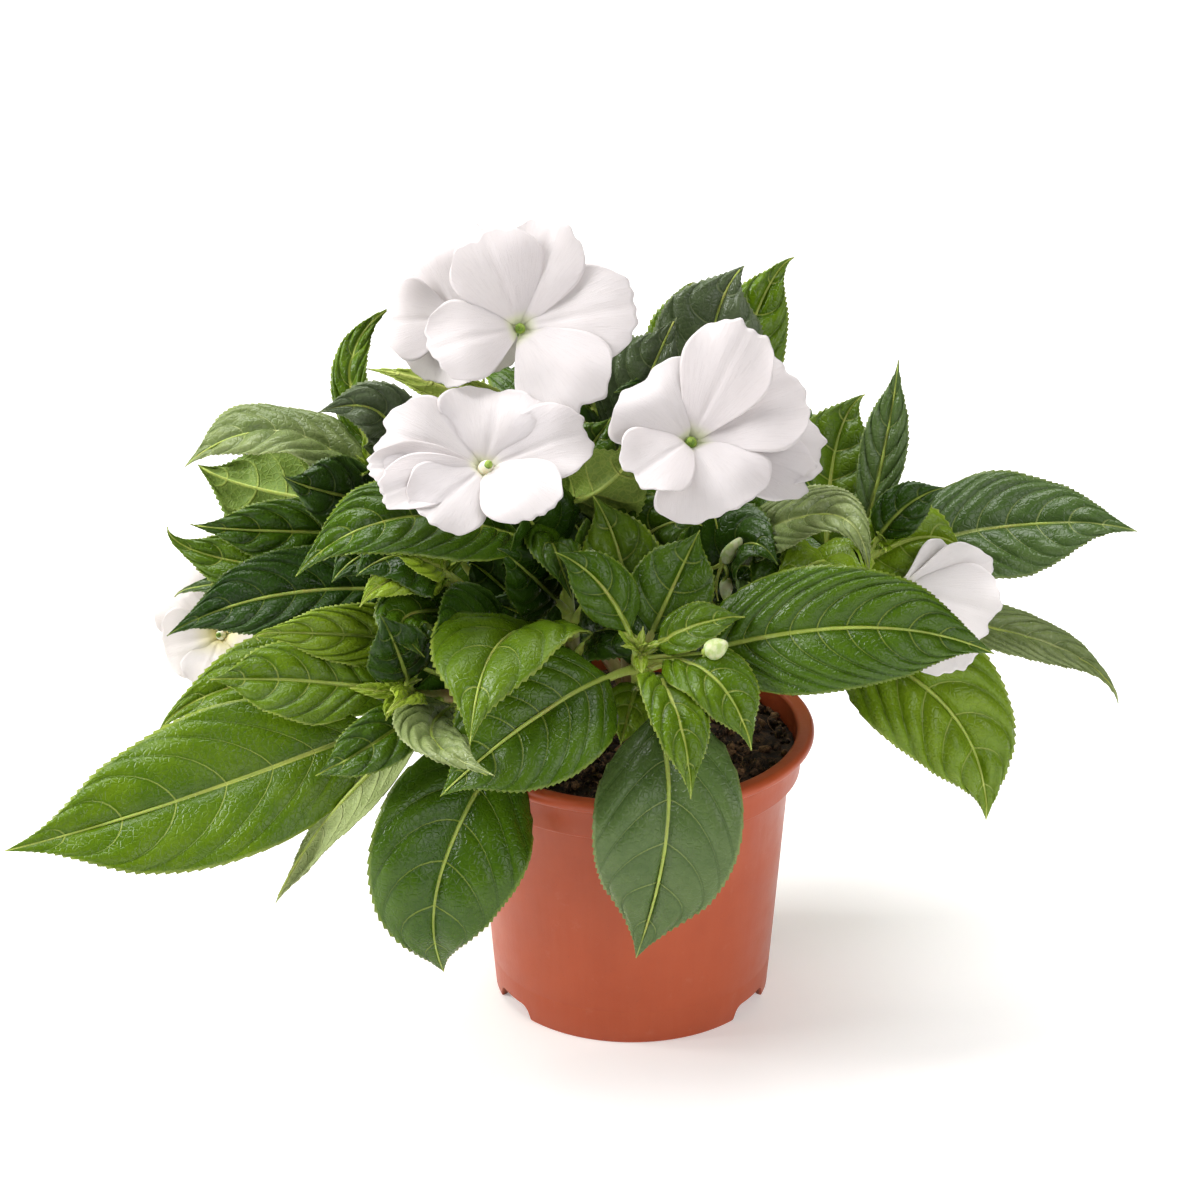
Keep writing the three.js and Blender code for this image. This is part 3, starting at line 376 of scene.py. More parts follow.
# Smaller leaves, given in the same way, which fill the plant's middle and its gaps
SMALL_LEAVES = {
    "front_tiny_right": dict(branch="front", at=0.97, width=0.016, tone="mid",
        mid=(0.018, -0.055, 0.156), tip=(0.035, -0.054, 0.159), looks=(0.1, -0.7, 0.9)),
    "left_back_grey": dict(branch="left_back", at=0.62, width=0.018, tone="slate",
        mid=(-0.125, 0.038, 0.128), tip=(-0.154, 0.050, 0.117), looks=(0, -0.8, 0.8)),
    "left_back_strip": dict(branch="top", at=0.86, width=0.014, tone="crown",
        mid=(-0.053, 0.030, 0.198), tip=(-0.087, 0.036, 0.206), looks=(0, 0.8, -0.7)),
    "left_gap": dict(branch="left", at=0.6, width=0.022, tone="fresh",
        mid=(-0.104, -0.030, 0.142), tip=(-0.119, -0.034, 0.141), looks=(0, -0.9, 0.6)),
    "centre_dark": dict(branch="centre", at=0.6, width=0.026, tone="dark",
        mid=(-0.034, -0.022, 0.160), tip=(-0.044, -0.030, 0.172), looks=(0.1, -0.9, 0.6)),
    "centre_peak": dict(branch="centre", at=0.98, width=0.020, tone="deep",
        mid=(-0.016, 0.006, 0.188), tip=(-0.007, 0.012, 0.199), looks=(0, -1, 0.5)),
    "top_sliver": dict(branch="right_back", at=0.98, width=0.026, tone="mid",
        mid=(0.016, 0.056, 0.212), tip=(0.020, 0.062, 0.226), looks=(0, -1, 0.5)),
    "right_dark": dict(branch="right", at=0.98, width=0.016, tone="dark",
        mid=(0.087, -0.010, 0.177), tip=(0.100, -0.010, 0.184), looks=(0, -1, 0.6)),
    "right_under": dict(branch="right", at=0.88, width=0.026, tone="fresh",
        mid=(0.090, -0.006, 0.164), tip=(0.106, -0.004, 0.160), looks=(0, -0.9, 0.5)),
    "right_tuck": dict(branch="right", at=0.70, width=0.03, tone="fresh",
        mid=(0.062, -0.016, 0.161), tip=(0.043, -0.030, 0.158), looks=(0, -0.5, 1)),
    "front_low": dict(branch="front", at=0.62, width=0.016, tone="fresh",
        mid=(0.000, -0.040, 0.124), tip=(-0.004, -0.050, 0.112), looks=(0, -1, 0.4)),
    "middle_1": dict(branch="centre", at=0.42, width=0.034, tone="dark",
        mid=(-0.006, -0.026, 0.142), tip=(0.010, -0.044, 0.138), looks=(0.1, -0.9, 0.8)),
    "middle_2": dict(branch="centre", at=0.56, width=0.034, tone="deep",
        mid=(0.004, -0.012, 0.168), tip=(0.022, -0.022, 0.176), looks=(0.1, -0.9, 0.6)),
    "middle_3": dict(branch="centre", at=0.72, width=0.032, tone="dark",
        mid=(-0.034, -0.022, 0.180), tip=(-0.038, -0.034, 0.186), looks=(0, -0.9, 0.7)),
    "middle_4": dict(branch="left", at=0.62, width=0.036, tone="dark",
        mid=(-0.050, -0.030, 0.142), tip=(-0.064, -0.052, 0.150), looks=(0, -0.9, 0.7)),
    "middle_5": dict(branch="left", at=0.98, width=0.034, tone="dark",
        mid=(-0.072, -0.022, 0.166), tip=(-0.088, -0.034, 0.164), looks=(0, -0.7, 0.9)),
    "middle_6": dict(branch="right_back", at=0.52, width=0.036, tone="dark",
        mid=(0.034, -0.012, 0.164), tip=(0.046, -0.026, 0.164), looks=(0, -0.8, 0.8)),
    "middle_7": dict(branch="right_back", at=0.74, width=0.034, tone="deep",
        mid=(0.046, 0.012, 0.178), tip=(0.058, 0.004, 0.176), looks=(0, -0.8, 0.8)),
    "middle_8": dict(branch="right_back", at=0.82, width=0.034, tone="dark",
        mid=(0.008, 0.022, 0.196), tip=(-0.006, 0.016, 0.206), looks=(0, -0.9, 0.6)),
    "middle_9": dict(branch="top", at=0.66, width=0.036, tone="dark",
        mid=(-0.030, 0.030, 0.186), tip=(-0.050, 0.024, 0.194), looks=(0, -0.8, 0.8)),
    "middle_10": dict(branch="left_back", at=0.76, width=0.036, tone="dark",
        mid=(-0.080, -0.012, 0.164), tip=(-0.096, -0.030, 0.160), looks=(0, -0.8, 0.8)),
    "middle_11": dict(branch="left", at=0.70, width=0.032, tone="deep",
        mid=(-0.080, 0.006, 0.146), tip=(-0.108, 0.010, 0.146), looks=(0, -0.7, 0.9)),
    "middle_12": dict(branch="left_front", at=0.72, width=0.034, tone="dark",
        mid=(-0.070, -0.024, 0.128), tip=(-0.094, -0.018, 0.138), looks=(0, -0.8, 0.8)),
    "middle_13": dict(branch="left_front", at=0.98, width=0.022, tone="dark",
        mid=(-0.075, -0.046, 0.144), tip=(-0.080, -0.050, 0.158), looks=(0, -0.9, 0.7)),
    "middle_14": dict(branch="front", at=0.56, width=0.034, tone="dark",
        mid=(0.026, -0.034, 0.134), tip=(0.048, -0.040, 0.136), looks=(0, -0.8, 0.9)),
    "middle_15": dict(branch="right", at=0.60, width=0.034, tone="dark",
        mid=(0.056, -0.020, 0.140), tip=(0.072, -0.036, 0.132), looks=(0, -0.8, 0.8)),
    "middle_16": dict(branch="right", at=0.88, width=0.024, tone="deep",
        mid=(0.092, 0.018, 0.163), tip=(0.104, 0.034, 0.165), looks=(0, -0.5, 1)),
    "middle_17": dict(branch="top", at=0.90, width=0.034, tone="deep",
        mid=(-0.014, 0.070, 0.200), tip=(-0.006, 0.090, 0.200), looks=(0, 0.5, 1)),
    "middle_18": dict(branch="back", at=0.60, width=0.034, tone="deep",
        mid=(0.010, 0.068, 0.146), tip=(-0.004, 0.090, 0.150), looks=(0, 0.5, 1)),
    "middle_19": dict(branch="back_left", at=0.62, width=0.034, tone="deep",
        mid=(-0.052, 0.058, 0.144), tip=(-0.080, 0.056, 0.150), looks=(0, 0.2, 1)),
    "middle_20": dict(branch="right_back", at=0.60, width=0.036, tone="deep",
        mid=(0.044, 0.036, 0.172), tip=(0.064, 0.052, 0.178), looks=(0.1, 0.3, 1)),
    "middle_21": dict(branch="top", at=0.45, width=0.044, tone="dark",
        mid=(-0.011, 0.012, 0.148), tip=(-0.025, 0.010, 0.171), looks=(0, -0.9, 0.6)),
    "middle_22": dict(branch="top", at=0.35, width=0.042, tone="dark",
        mid=(-0.028, 0.006, 0.129), tip=(-0.048, 0.000, 0.140), looks=(0, -0.9, 0.7)),
    "middle_23": dict(branch="right_back", at=0.40, width=0.042, tone="dark",
        mid=(0.010, 0.000, 0.132), tip=(0.023, 0.000, 0.152), looks=(0, -0.9, 0.6)),
    "middle_24": dict(branch="right", at=0.45, width=0.040, tone="dark",
        mid=(0.045, 0.000, 0.125), tip=(0.063, 0.000, 0.128), looks=(0, -0.9, 0.7)),
    "middle_25": dict(branch="centre", at=0.45, width=0.028, tone="dark",
        mid=(-0.046, 0.010, 0.143), tip=(-0.053, 0.004, 0.150), looks=(0, -1, 0.5)),
    "middle_26": dict(branch="right_back", at=0.5, width=0.026, tone="dark",
        mid=(0.035, 0.014, 0.145), tip=(0.042, 0.006, 0.140), looks=(0, -1, 0.5)),
    "middle_27": dict(branch="top", at=0.6, width=0.026, tone="deep",
        mid=(-0.037, 0.022, 0.157), tip=(-0.043, 0.012, 0.158), looks=(0, -1, 0.5)),
    "left_young": dict(branch="left", at=0.96, width=0.015, tone="crown",
        mid=(-0.075, -0.030, 0.161), tip=(-0.087, -0.034, 0.153), looks=(0.3, -0.6, 0.9), fold=0.7),
    "left_young_back": dict(branch="left", at=0.99, width=0.012, tone="crown",
        mid=(-0.070, -0.040, 0.174), tip=(-0.080, -0.042, 0.176), looks=(0.2, -0.8, 0.7), fold=0.7),
    "left_hang": dict(branch="left_front", at=0.90, width=0.020, tone="deep",
        mid=(-0.083, -0.058, 0.116), tip=(-0.101, -0.060, 0.106), looks=(-0.2, -0.8, 0.7)),
    "left_front_young": dict(branch="left_front", at=0.97, width=0.012, tone="crown",
        mid=(-0.072, -0.072, 0.139), tip=(-0.077, -0.078, 0.137), looks=(0.2, -0.7, 0.9), fold=0.7),
}

# Crowns of young leaves: the centre, the axis, how many leaves, their length and their tone
CROWNS = {
    "front": ((0.002, -0.049, 0.146), (0, -0.35, 0.9), 7, 0.013, "crown"),
    "left_front": ((-0.075, -0.037, 0.125), (-0.2, -0.5, 0.8), 9, 0.018, "crown"),
    "left": ((-0.061, -0.008, 0.154), (-0.2, -0.3, 0.9), 8, 0.020, "mid"),
    "left_back": ((-0.085, 0.020, 0.177), (-0.3, -0.1, 0.9), 9, 0.022, "fresh"),
    "centre": ((-0.028, 0.004, 0.180), (0, -0.1, 1), 7, 0.020, "mid"),
    "right": ((0.081, -0.004, 0.162), (0.3, -0.2, 0.9), 9, 0.020, "fresh"),
    "right_back": ((0.024, 0.034, 0.188), (0, 0, 1), 9, 0.022, "mid"),
    "top": ((-0.012, 0.044, 0.192), (0, 0.1, 1), 9, 0.022, "mid"),
    "back": ((0.035, 0.080, 0.140), (0.1, 0.5, 0.8), 9, 0.022, "fresh"),
    "back_left": ((-0.049, 0.078, 0.138), (-0.2, 0.5, 0.8), 9, 0.022, "fresh"),
}

# Buds: the branch and place that the stalk leaves, the bud's middle, axis, length and radius
BUDS = [
    ("front", 0.96, (0.026, -0.062, 0.152), (0.7, -0.3, 0.5), 0.0085, 0.0033),
    ("right_back", 0.70, (0.032, -0.012, 0.163), (0.5, -0.2, 0.8), 0.0120, 0.0024),
    ("right_back", 0.66, (0.030, -0.012, 0.149), (-0.1, -0.4, -0.9), 0.0075, 0.0022),
    ("back", 0.96, (0.044, 0.090, 0.152), (0.3, 0.5, 0.8), 0.0100, 0.0035),
    ("back_left", 0.96, (-0.056, 0.088, 0.152), (-0.3, 0.6, 0.8), 0.0090, 0.0032),
    ("top", 0.98, (-0.018, 0.056, 0.204), (-0.2, 0.4, 0.9), 0.0090, 0.0032),
]


# Small helpers for shapes


def unit(vectors):
    """Vectors of length 1, for one vector or for rows of them."""
    vectors = np.asarray(vectors, float)
    return vectors / np.maximum(np.linalg.norm(vectors, axis=-1, keepdims=True), 1e-12)


def smooth(low, high, x):
    """0 below low, 1 above high and an S curve between."""
    t = np.clip((np.asarray(x, float) - low) / (high - low), 0, 1)
    return t * t * (3 - 2 * t)


class Curve:
    """A Bezier curve of three or four points, measured by its length."""

    def __init__(self, *points):
        self.points = [np.array(p, float) for p in points]
        t = np.linspace(0, 1, 200)
        steps = np.linalg.norm(np.diff(self.at(t), axis=0), axis=1)
        self.lengths = np.concatenate([[0], np.cumsum(steps)])
        self.length = self.lengths[-1]
        self.t = t

    def at(self, t):
        """Points at the curve's own parameter."""
        t = np.asarray(t, float)[..., None]
        rest = 1 - t
        if len(self.points) == 3:
            a, b, c = self.points
            return rest**2 * a + 2 * rest * t * b + t**2 * c
        a, b, c, d = self.points
        return rest**3 * a + 3 * rest**2 * t * b + 3 * rest * t**2 * c + t**3 * d

    def heading(self, t):
        """Unit tangents at the curve's own parameter."""
        step = 1e-4
        t = np.clip(np.asarray(t, float), step, 1 - step)
        return unit(self.at(t + step) - self.at(t - step))

    def share(self, shares):
        """The curve's own parameter at shares of its length."""
        return np.interp(np.asarray(shares, float) * self.length, self.lengths, self.t)


def arch(start, mid, tip):
    """A curve from start to tip that passes mid half-way."""
    start, mid, tip = (np.array(p, float) for p in (start, mid, tip))
    return Curve(start, 2 * mid - 0.5 * start - 0.5 * tip, tip)


def grid(bm, steps_along, steps_across):
    """A new flat grid: its vertices, and their places from 0 to 1 along and from 0 to 1 across."""
    verts = bmesh.ops.create_grid(bm, x_segments=steps_along, y_segments=steps_across, size=1)["verts"]
    places = np.array([v.co.to_tuple() for v in verts])
    return verts, (places[:, 0] + 1) / 2, (places[:, 1] + 1) / 2


def put(verts, points):
    """Moves vertices to points."""
    for vert, point in zip(verts, points):
        vert.co = point


def faces_of(verts):
    """The faces that use these vertices."""
    return list({face for vert in verts for face in vert.link_faces})


def face_up(bm, verts, points, normals):
    """Turns a sheet's faces over if they look away from the normals given at its points."""
    faces = faces_of(verts)
    votes = 0
    for face in faces[:: max(1, len(faces) // 40)]:
        face.normal_update()
        middle = np.array(face.calc_center_median())
        nearest = int(np.argmin(np.linalg.norm(points - middle, axis=1)))
        votes += 1 if face.normal.dot(Vector(normals[nearest])) > 0 else -1
    if votes < 0:
        bmesh.ops.reverse_faces(bm, faces=faces)


def thicken(bm, verts, thickness, under=0):
    """Gives a sheet its thickness on the side that its faces look away from."""
    faces = faces_of(verts)
    for face in faces:
        face.normal_update()
    for vert in verts:
        vert.normal_update()
    inwards = [vert.normal * -thickness for vert in verts]
    bmesh.ops.extrude_face_region(bm, geom=faces, use_keep_orig=True)
    for vert, step in zip(verts, inwards):
        vert.co += step
    for face in faces:
        face.material_index = under


def tube(bm, path, radii, sides, finish=0):
    """A closed round tube along a path of points: a grid rolled up around it, with its ends filled."""
    path = np.array(path, float)
    radii = np.broadcast_to(radii, len(path))
    verts, along, across = grid(bm, len(path) - 1, sides)
    tangents = unit(np.gradient(path, axis=0))
    sideways = np.zeros_like(path)
    last = unit(np.cross(tangents[0], (0.31, -0.87, 0.39)))
    for i, tangent in enumerate(tangents):
        last = unit(last - tangent * (last @ tangent))
        sideways[i] = last
    others = np.cross(tangents, sideways)
    ring = np.round(along * (len(path) - 1)).astype(int)
    angle = across * 2 * math.pi
    offset = sideways[ring] * np.cos(angle)[:, None] + others[ring] * np.sin(angle)[:, None]
    put(verts, path[ring] + offset * radii[ring][:, None])
    bmesh.ops.remove_doubles(bm, verts=verts, dist=1e-7)
    verts = [v for v in verts if v.is_valid]
    rims = list({edge for v in verts for edge in v.link_edges if edge.is_boundary})
    bmesh.ops.holes_fill(bm, edges=rims, sides=0)
    faces = faces_of(verts)
    bmesh.ops.recalc_face_normals(bm, faces=faces)
    for face in faces:
        face.material_index = finish
    return verts


def ball(bm, centre, axis, length, radius, finish=0, detail=2, egg=0.0):
    """A closed ball drawn out along an axis, and narrower towards its far end where egg is above 0."""
    verts = bmesh.ops.create_icosphere(bm, subdivisions=detail, radius=1)["verts"]
    axis = unit(axis)
    side = unit(np.cross(axis, (0.37, 0.21, 0.9)))
    other = np.cross(axis, side)
    places = np.array([v.co.to_tuple() for v in verts])
    girth = radius * (1 - egg * places[:, 2:3])
    points = places[:, 2:3] * axis * length / 2 + girth * (places[:, 0:1] * side + places[:, 1:2] * other)
    put(verts, points + np.array(centre))
    for face in faces_of(verts):
        face.material_index = finish
    return verts


def finish_piece(name, bm, finishes, replaces=()):
    """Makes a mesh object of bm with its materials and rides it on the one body."""
    mesh = bpy.data.meshes.new(name)
    bm.to_mesh(mesh)
    bm.free()
    for finish in finishes:
        mesh.materials.append(finish)
    mesh.shade_smooth()
    piece = bpy.data.objects.new(name, mesh)
    bpy.context.scene.collection.objects.link(piece)
    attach(piece, "root")
    if replaces:
        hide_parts(*replaces)
    return piece


# Materials


class Finish:
    """A procedural material built up from short calls; constants go on the shader's own sockets."""

    def __init__(self, name, **constants):
        self.material = bpy.data.materials.new(name)
        self.material.use_nodes = True
        self.tree = self.material.node_tree
        self.shader = self.tree.nodes["Principled BSDF"]
        for socket, value in constants.items():
            self.shader.inputs[socket.replace("_", " ")].default_value = value

    def join(self, socket, value):
        """Links a value to a socket if it is an output, and writes it there if it is a number or colour."""
        if isinstance(value, bpy.types.NodeSocket):
            self.tree.links.new(value, socket)
        else:
            socket.default_value = value

    def node(self, kind, **settings):
        """A new node with these settings."""
        made = self.tree.nodes.new("ShaderNode" + kind)
        for key, value in settings.items():
            setattr(made, key, value)
        return made

    def sum(self, operation, a, b=0.0, c=0.0):
        """One step of arithmetic."""
        made = self.node("Math", operation=operation)
        for socket, value in zip(made.inputs, (a, b, c)):
            self.join(socket, value)
        return made.outputs[0]

    def between(self, value, low, high, start=0.0, end=1.0):
        """Start where value is below low, end above high, and smooth between."""
        made = self.node("MapRange", interpolation_type="SMOOTHSTEP")
        for socket, given in zip(made.inputs, (value, low, high, start, end)):
            self.join(socket, given)
        return made.outputs[0]

    def mix(self, share, first, second):
        """A mix of two colours."""
        made = self.node("Mix", data_type="RGBA")
        self.join(made.inputs["Factor"], share)
        self.join(made.inputs[6], first)
        self.join(made.inputs[7], second)
        return made.outputs[2]

    def place(self):
        """Object coordinates, in metres."""
        return self.node("TexCoord").outputs["Object"]

    def marks(self, name):
        """The three numbers of a vector attribute of the mesh."""
        split = self.node("SeparateXYZ")
        attribute = self.node("Attribute", attribute_name=name)
        self.join(split.inputs[0], attribute.outputs["Vector"])
        return split.outputs[0], split.outputs[1], split.outputs[2]

    def vector(self, x, y, z=0.0):
        """A vector of three numbers."""
        made = self.node("CombineXYZ")
        for socket, value in zip(made.inputs, (x, y, z)):
            self.join(socket, value)
        return made.outputs[0]

    def noise(self, where, scale, detail=3.0, roughness=0.55):
        """Soft noise, about 0.3 to 0.7."""
        made = self.node("TexNoise")
        self.join(made.inputs["Vector"], where)
        for socket, value in (("Scale", scale), ("Detail", detail), ("Roughness", roughness)):
            made.inputs[socket].default_value = value
        return made.outputs[0]

    def patches(self, where, scale, start=0.0, end=1.0):
        """Soft patches, spread out to run from start to end."""
        return self.between(self.noise(where, scale), 0.3, 0.7, start, end)

    def drawn_out(self, where, share):
        """Coordinates for a texture that is drawn out along Z, to a share of its detail."""
        made = self.node("Mapping")
        made.inputs["Scale"].default_value = (1.0, 1.0, share)
        self.join(made.inputs["Vector"], where)
        return made.outputs[0]

    def cells(self, where, scale):
        """The distance to the nearest edge between cells."""
        made = self.node("TexVoronoi", feature="DISTANCE_TO_EDGE")
        self.join(made.inputs["Vector"], where)
        made.inputs["Scale"].default_value = scale
        return made.outputs["Distance"]

    def bump(self, height, distance, strength=1.0):
        """Feeds a height, 0 to 1, to the shader's normal, after any bump that it already has."""
        made = self.node("Bump")
        made.inputs["Strength"].default_value = strength
        made.inputs["Distance"].default_value = distance
        self.join(made.inputs["Height"], height)
        normal = self.shader.inputs["Normal"]
        if normal.is_linked:
            self.join(made.inputs["Normal"], normal.links[0].from_socket)
        self.join(normal, made.outputs[0])

    def paint(self, colour, roughness=None):
        """Gives the shader its colour and, where it varies, its roughness."""
        self.join(self.shader.inputs["Base Color"], colour)
        if roughness is not None:
            self.join(self.shader.inputs["Roughness"], roughness)
        return self.material


def rgb(red, green, blue):
    """An opaque colour."""
    return (red, green, blue, 1.0)


# Each tone of leaf: the shaded green, the full green, the veins and the paler underside. The shaded green is
# the dark end of random mottling and also serves as painted shade in the furrows beside the veins and near
# the midrib and the base
LEAF_TONES = {
    "dark": (
        rgb(0.012, 0.038, 0.002), rgb(0.034, 0.080, 0.004),
        rgb(0.16, 0.22, 0.035), rgb(0.12, 0.21, 0.035),
    ),
    "deep": (
        rgb(0.026, 0.068, 0.002), rgb(0.064, 0.126, 0.003),
        rgb(0.32, 0.39, 0.060), rgb(0.14, 0.22, 0.026),
    ),
    "mid": (
        rgb(0.050, 0.108, 0.002), rgb(0.120, 0.198, 0.005),
        rgb(0.48, 0.54, 0.110), rgb(0.20, 0.29, 0.042),
    ),
    "fresh": (
        rgb(0.110, 0.190, 0.005), rgb(0.190, 0.280, 0.012),
        rgb(0.52, 0.58, 0.15), rgb(0.36, 0.46, 0.10),
    ),
    # Slate: a green greyed by painted sheen
    "slate": (
        rgb(0.044, 0.088, 0.016), rgb(0.102, 0.155, 0.045),
        rgb(0.34, 0.40, 0.12), rgb(0.24, 0.32, 0.09),
    ),
    # Pale: a paler green, lifted further towards grey by painted sheen
    "pale": (
        rgb(0.120, 0.168, 0.046), rgb(0.280, 0.330, 0.130),
        rgb(0.42, 0.47, 0.18), rgb(0.30, 0.37, 0.13),
    ),
    # Grey: a dark green greyed by painted sheen
    "grey": (
        rgb(0.044, 0.068, 0.024), rgb(0.086, 0.112, 0.054),
        rgb(0.20, 0.24, 0.10), rgb(0.20, 0.26, 0.10),
    ),
    "crown": (
        rgb(0.180, 0.280, 0.010), rgb(0.300, 0.400, 0.035),
        rgb(0.52, 0.58, 0.14), rgb(0.38, 0.48, 0.09),
    ),
}


def vein_masks(finish, width):
    """Where the side veins and the midrib run, 0 to 1, and the other marks of the blade."""
    phase, along, beside = finish.marks("leaf_net")
    edge, own, gap = finish.marks("leaf_edge")
    to_vein = finish.sum("MULTIPLY", finish.sum("PINGPONG", phase, 0.5), gap)
    line = finish.between(to_vein, width * 0.25, width, 1.0, 0.0)
    side = finish.sum("MULTIPLY", line, finish.between(edge, 0.1, 0.95, 1.0, 0.15))
    reach = finish.sum("SUBTRACT", 1.25, along)
    to_rib = finish.sum("DIVIDE", finish.sum("ABSOLUTE", beside), reach)
    rib = finish.between(to_rib, 0.045, 0.085, 1.0, 0.0)
    return side, rib, to_vein, edge, along, own


def leaf_upper(tone):
    """The glossy, quilted upper skin: mottled green with painted shade towards the midrib and the base, pale
    midrib, thin paler side veins with painted shade in the furrows beside them.
    """
    shade, full, vein, _ = LEAF_TONES[tone]
    finish = Finish(f"leaf_{tone}_upper", IOR=1.34)
    side, rib, to_vein, edge, along, own = vein_masks(finish, 0.045)
    where = finish.place()
    clouds = finish.patches(where, 55.0, 0.0, 0.42)
    flecks = finish.between(finish.noise(where, 420.0), 0.35, 0.65, 0.0, 0.18)
    # Painted shade: the green is darker near the midrib and the base of the blade and lighter towards the
    # margin and the tip
    outwards = finish.sum("MULTIPLY", finish.sum("ADD", edge, along), 0.13)
    share = finish.sum("ADD", finish.sum("ADD", clouds, flecks), outwards)
    share = finish.sum("ADD", share, finish.sum("MULTIPLY_ADD", own, 0.36, -0.12))
    green = finish.mix(share, shade, full)
    # Painted shade: the green is darkened towards the shaded green in the furrow beside each side vein
    furrow = finish.between(to_vein, 0.04, 0.2, 0.7, 0.0)
    green = finish.mix(furrow, green, shade)
    margin = finish.between(edge, 0.95, 1.0, 0.0, 0.35)
    green = finish.mix(margin, green, vein)
    green = finish.mix(finish.sum("MULTIPLY", side, 0.45), green, vein)
    green = finish.mix(finish.sum("MULTIPLY", rib, 0.95), green, vein)
    net = finish.between(finish.cells(where, 520.0), 0.0, 0.2)
    finish.bump(net, 0.00016, 0.6)
    finish.bump(finish.noise(where, 1500.0), 0.00005, 0.5)
    finish.bump(finish.sum("SUBTRACT", 1.0, side), 0.0002, 0.8)
    return finish.paint(green, finish.patches(where, 90.0, 0.20, 0.34))


def leaf_under(tone):
    """The matt, pale underside with its raised net of veins."""
    _, full, vein, under = LEAF_TONES[tone]
    finish = Finish(f"leaf_{tone}_underside", IOR=1.4)
    side, rib, _, _, _, _ = vein_masks(finish, 0.06)
    where = finish.place()
    share = finish.patches(where, 80.0, 0.0, 0.35)
    green = finish.mix(share, under, full)
    net = finish.between(finish.cells(where, 560.0), 0.0, 0.16, 1.0, 0.0)
    green = finish.mix(finish.sum("MULTIPLY", net, 0.22), green, vein)
    green = finish.mix(finish.sum("MULTIPLY", side, 0.6), green, vein)
    green = finish.mix(rib, green, vein)
    finish.bump(net, 0.00015, 0.8)
    finish.bump(side, 0.0005, 1.0)
    return finish.paint(green, finish.patches(where, 200.0, 0.5, 0.66))


def stalk_skin(name, green, blush, share):
    """The smooth, watery skin of stems and stalks: green with a reddish blush and fine streaks."""
    finish = Finish(name, IOR=1.42, Subsurface_Weight=0.12, Subsurface_Scale=0.0015)
    where = finish.place()
    patches = finish.between(finish.noise(where, 70.0), 0.5 - share, 0.75 - share * 0.6)
    streaks = finish.between(finish.noise(finish.drawn_out(where, 0.15), 1400.0), 0.35, 0.65)
    colour = finish.mix(patches, rgb(*green), rgb(*blush))
    colour = finish.mix(finish.sum("MULTIPLY", streaks, 0.3), colour, rgb(*(c * 1.45 for c in green)))
    finish.bump(streaks, 0.00008, 0.6)
    return finish.paint(colour, finish.patches(where, 300.0, 0.32, 0.5))


# Each petal skin: the white, its veins, the heart's tint and how far along the petal that reaches
PETAL_COLOURS = {
    "white": ((0.645, 0.590, 0.584), (0.545, 0.487, 0.486), (0.72, 0.74, 0.46), 0.18),
    "faded": ((0.62, 0.57, 0.55), (0.54, 0.47, 0.45), (0.66, 0.58, 0.22), 0.5),
    # The bright skin is a lighter copy of the white: painted light for the side flower, which stands in shade
    "bright": ((0.76, 0.705, 0.695), (0.72, 0.66, 0.65), (0.80, 0.78, 0.55), 0.18),
}


def petal_skin(name, white, vein, heart, heart_reach):
    """The soft white petal: fine radiating veins, a faint sparkle of cells and a tinted heart."""
    finish = Finish(name, IOR=1.36, Subsurface_Weight=0.25, Subsurface_Scale=0.002, Sheen_Weight=0.08)
    finish.shader.inputs["Subsurface Radius"].default_value = (1.0, 0.9, 0.8)
    along, across, _ = finish.marks("petal_net")
    where = finish.place()
    fan = finish.vector(finish.sum("MULTIPLY", across, 24.0), finish.sum("MULTIPLY", along, 2.2))
    threads = finish.between(finish.noise(fan, 2.2, 4.0, 0.7), 0.47, 0.68)
    fading = finish.between(along, 0.45, 1.0, 0.42, 0.12)
    clouds = finish.between(finish.noise(where, 75.0), 0.35, 0.7, 0.0, 0.35)
    colour = finish.mix(finish.sum("MULTIPLY", threads, fading), rgb(*white), rgb(*vein))
    colour = finish.mix(clouds, colour, rgb(*(0.5 * (a + b) for a, b in zip(white, vein))))
    colour = finish.mix(finish.between(along, 0.02, heart_reach, 0.85, 0.0), colour, rgb(*heart))
    finish.bump(threads, 0.00018, 0.3)
    finish.bump(finish.cells(where, 2600.0), 0.00004, 0.5)
    return finish.paint(colour, finish.patches(where, 500.0, 0.42, 0.6))


def flower_heart_skin(name, colour, tint):
    """The small parts in the middle of a flower: smooth, with a paler or yellower tint in patches."""
    finish = Finish(name, IOR=1.4, Subsurface_Weight=0.2, Subsurface_Scale=0.0015)
    where = finish.place()
    share = finish.between(finish.noise(where, 420.0), 0.38, 0.62)
    finish.bump(finish.noise(where, 1800.0), 0.0001, 0.6)
    mixed = finish.mix(share, rgb(*colour), rgb(*tint))
    return finish.paint(mixed, finish.between(share, 0.0, 1.0, 0.38, 0.5))


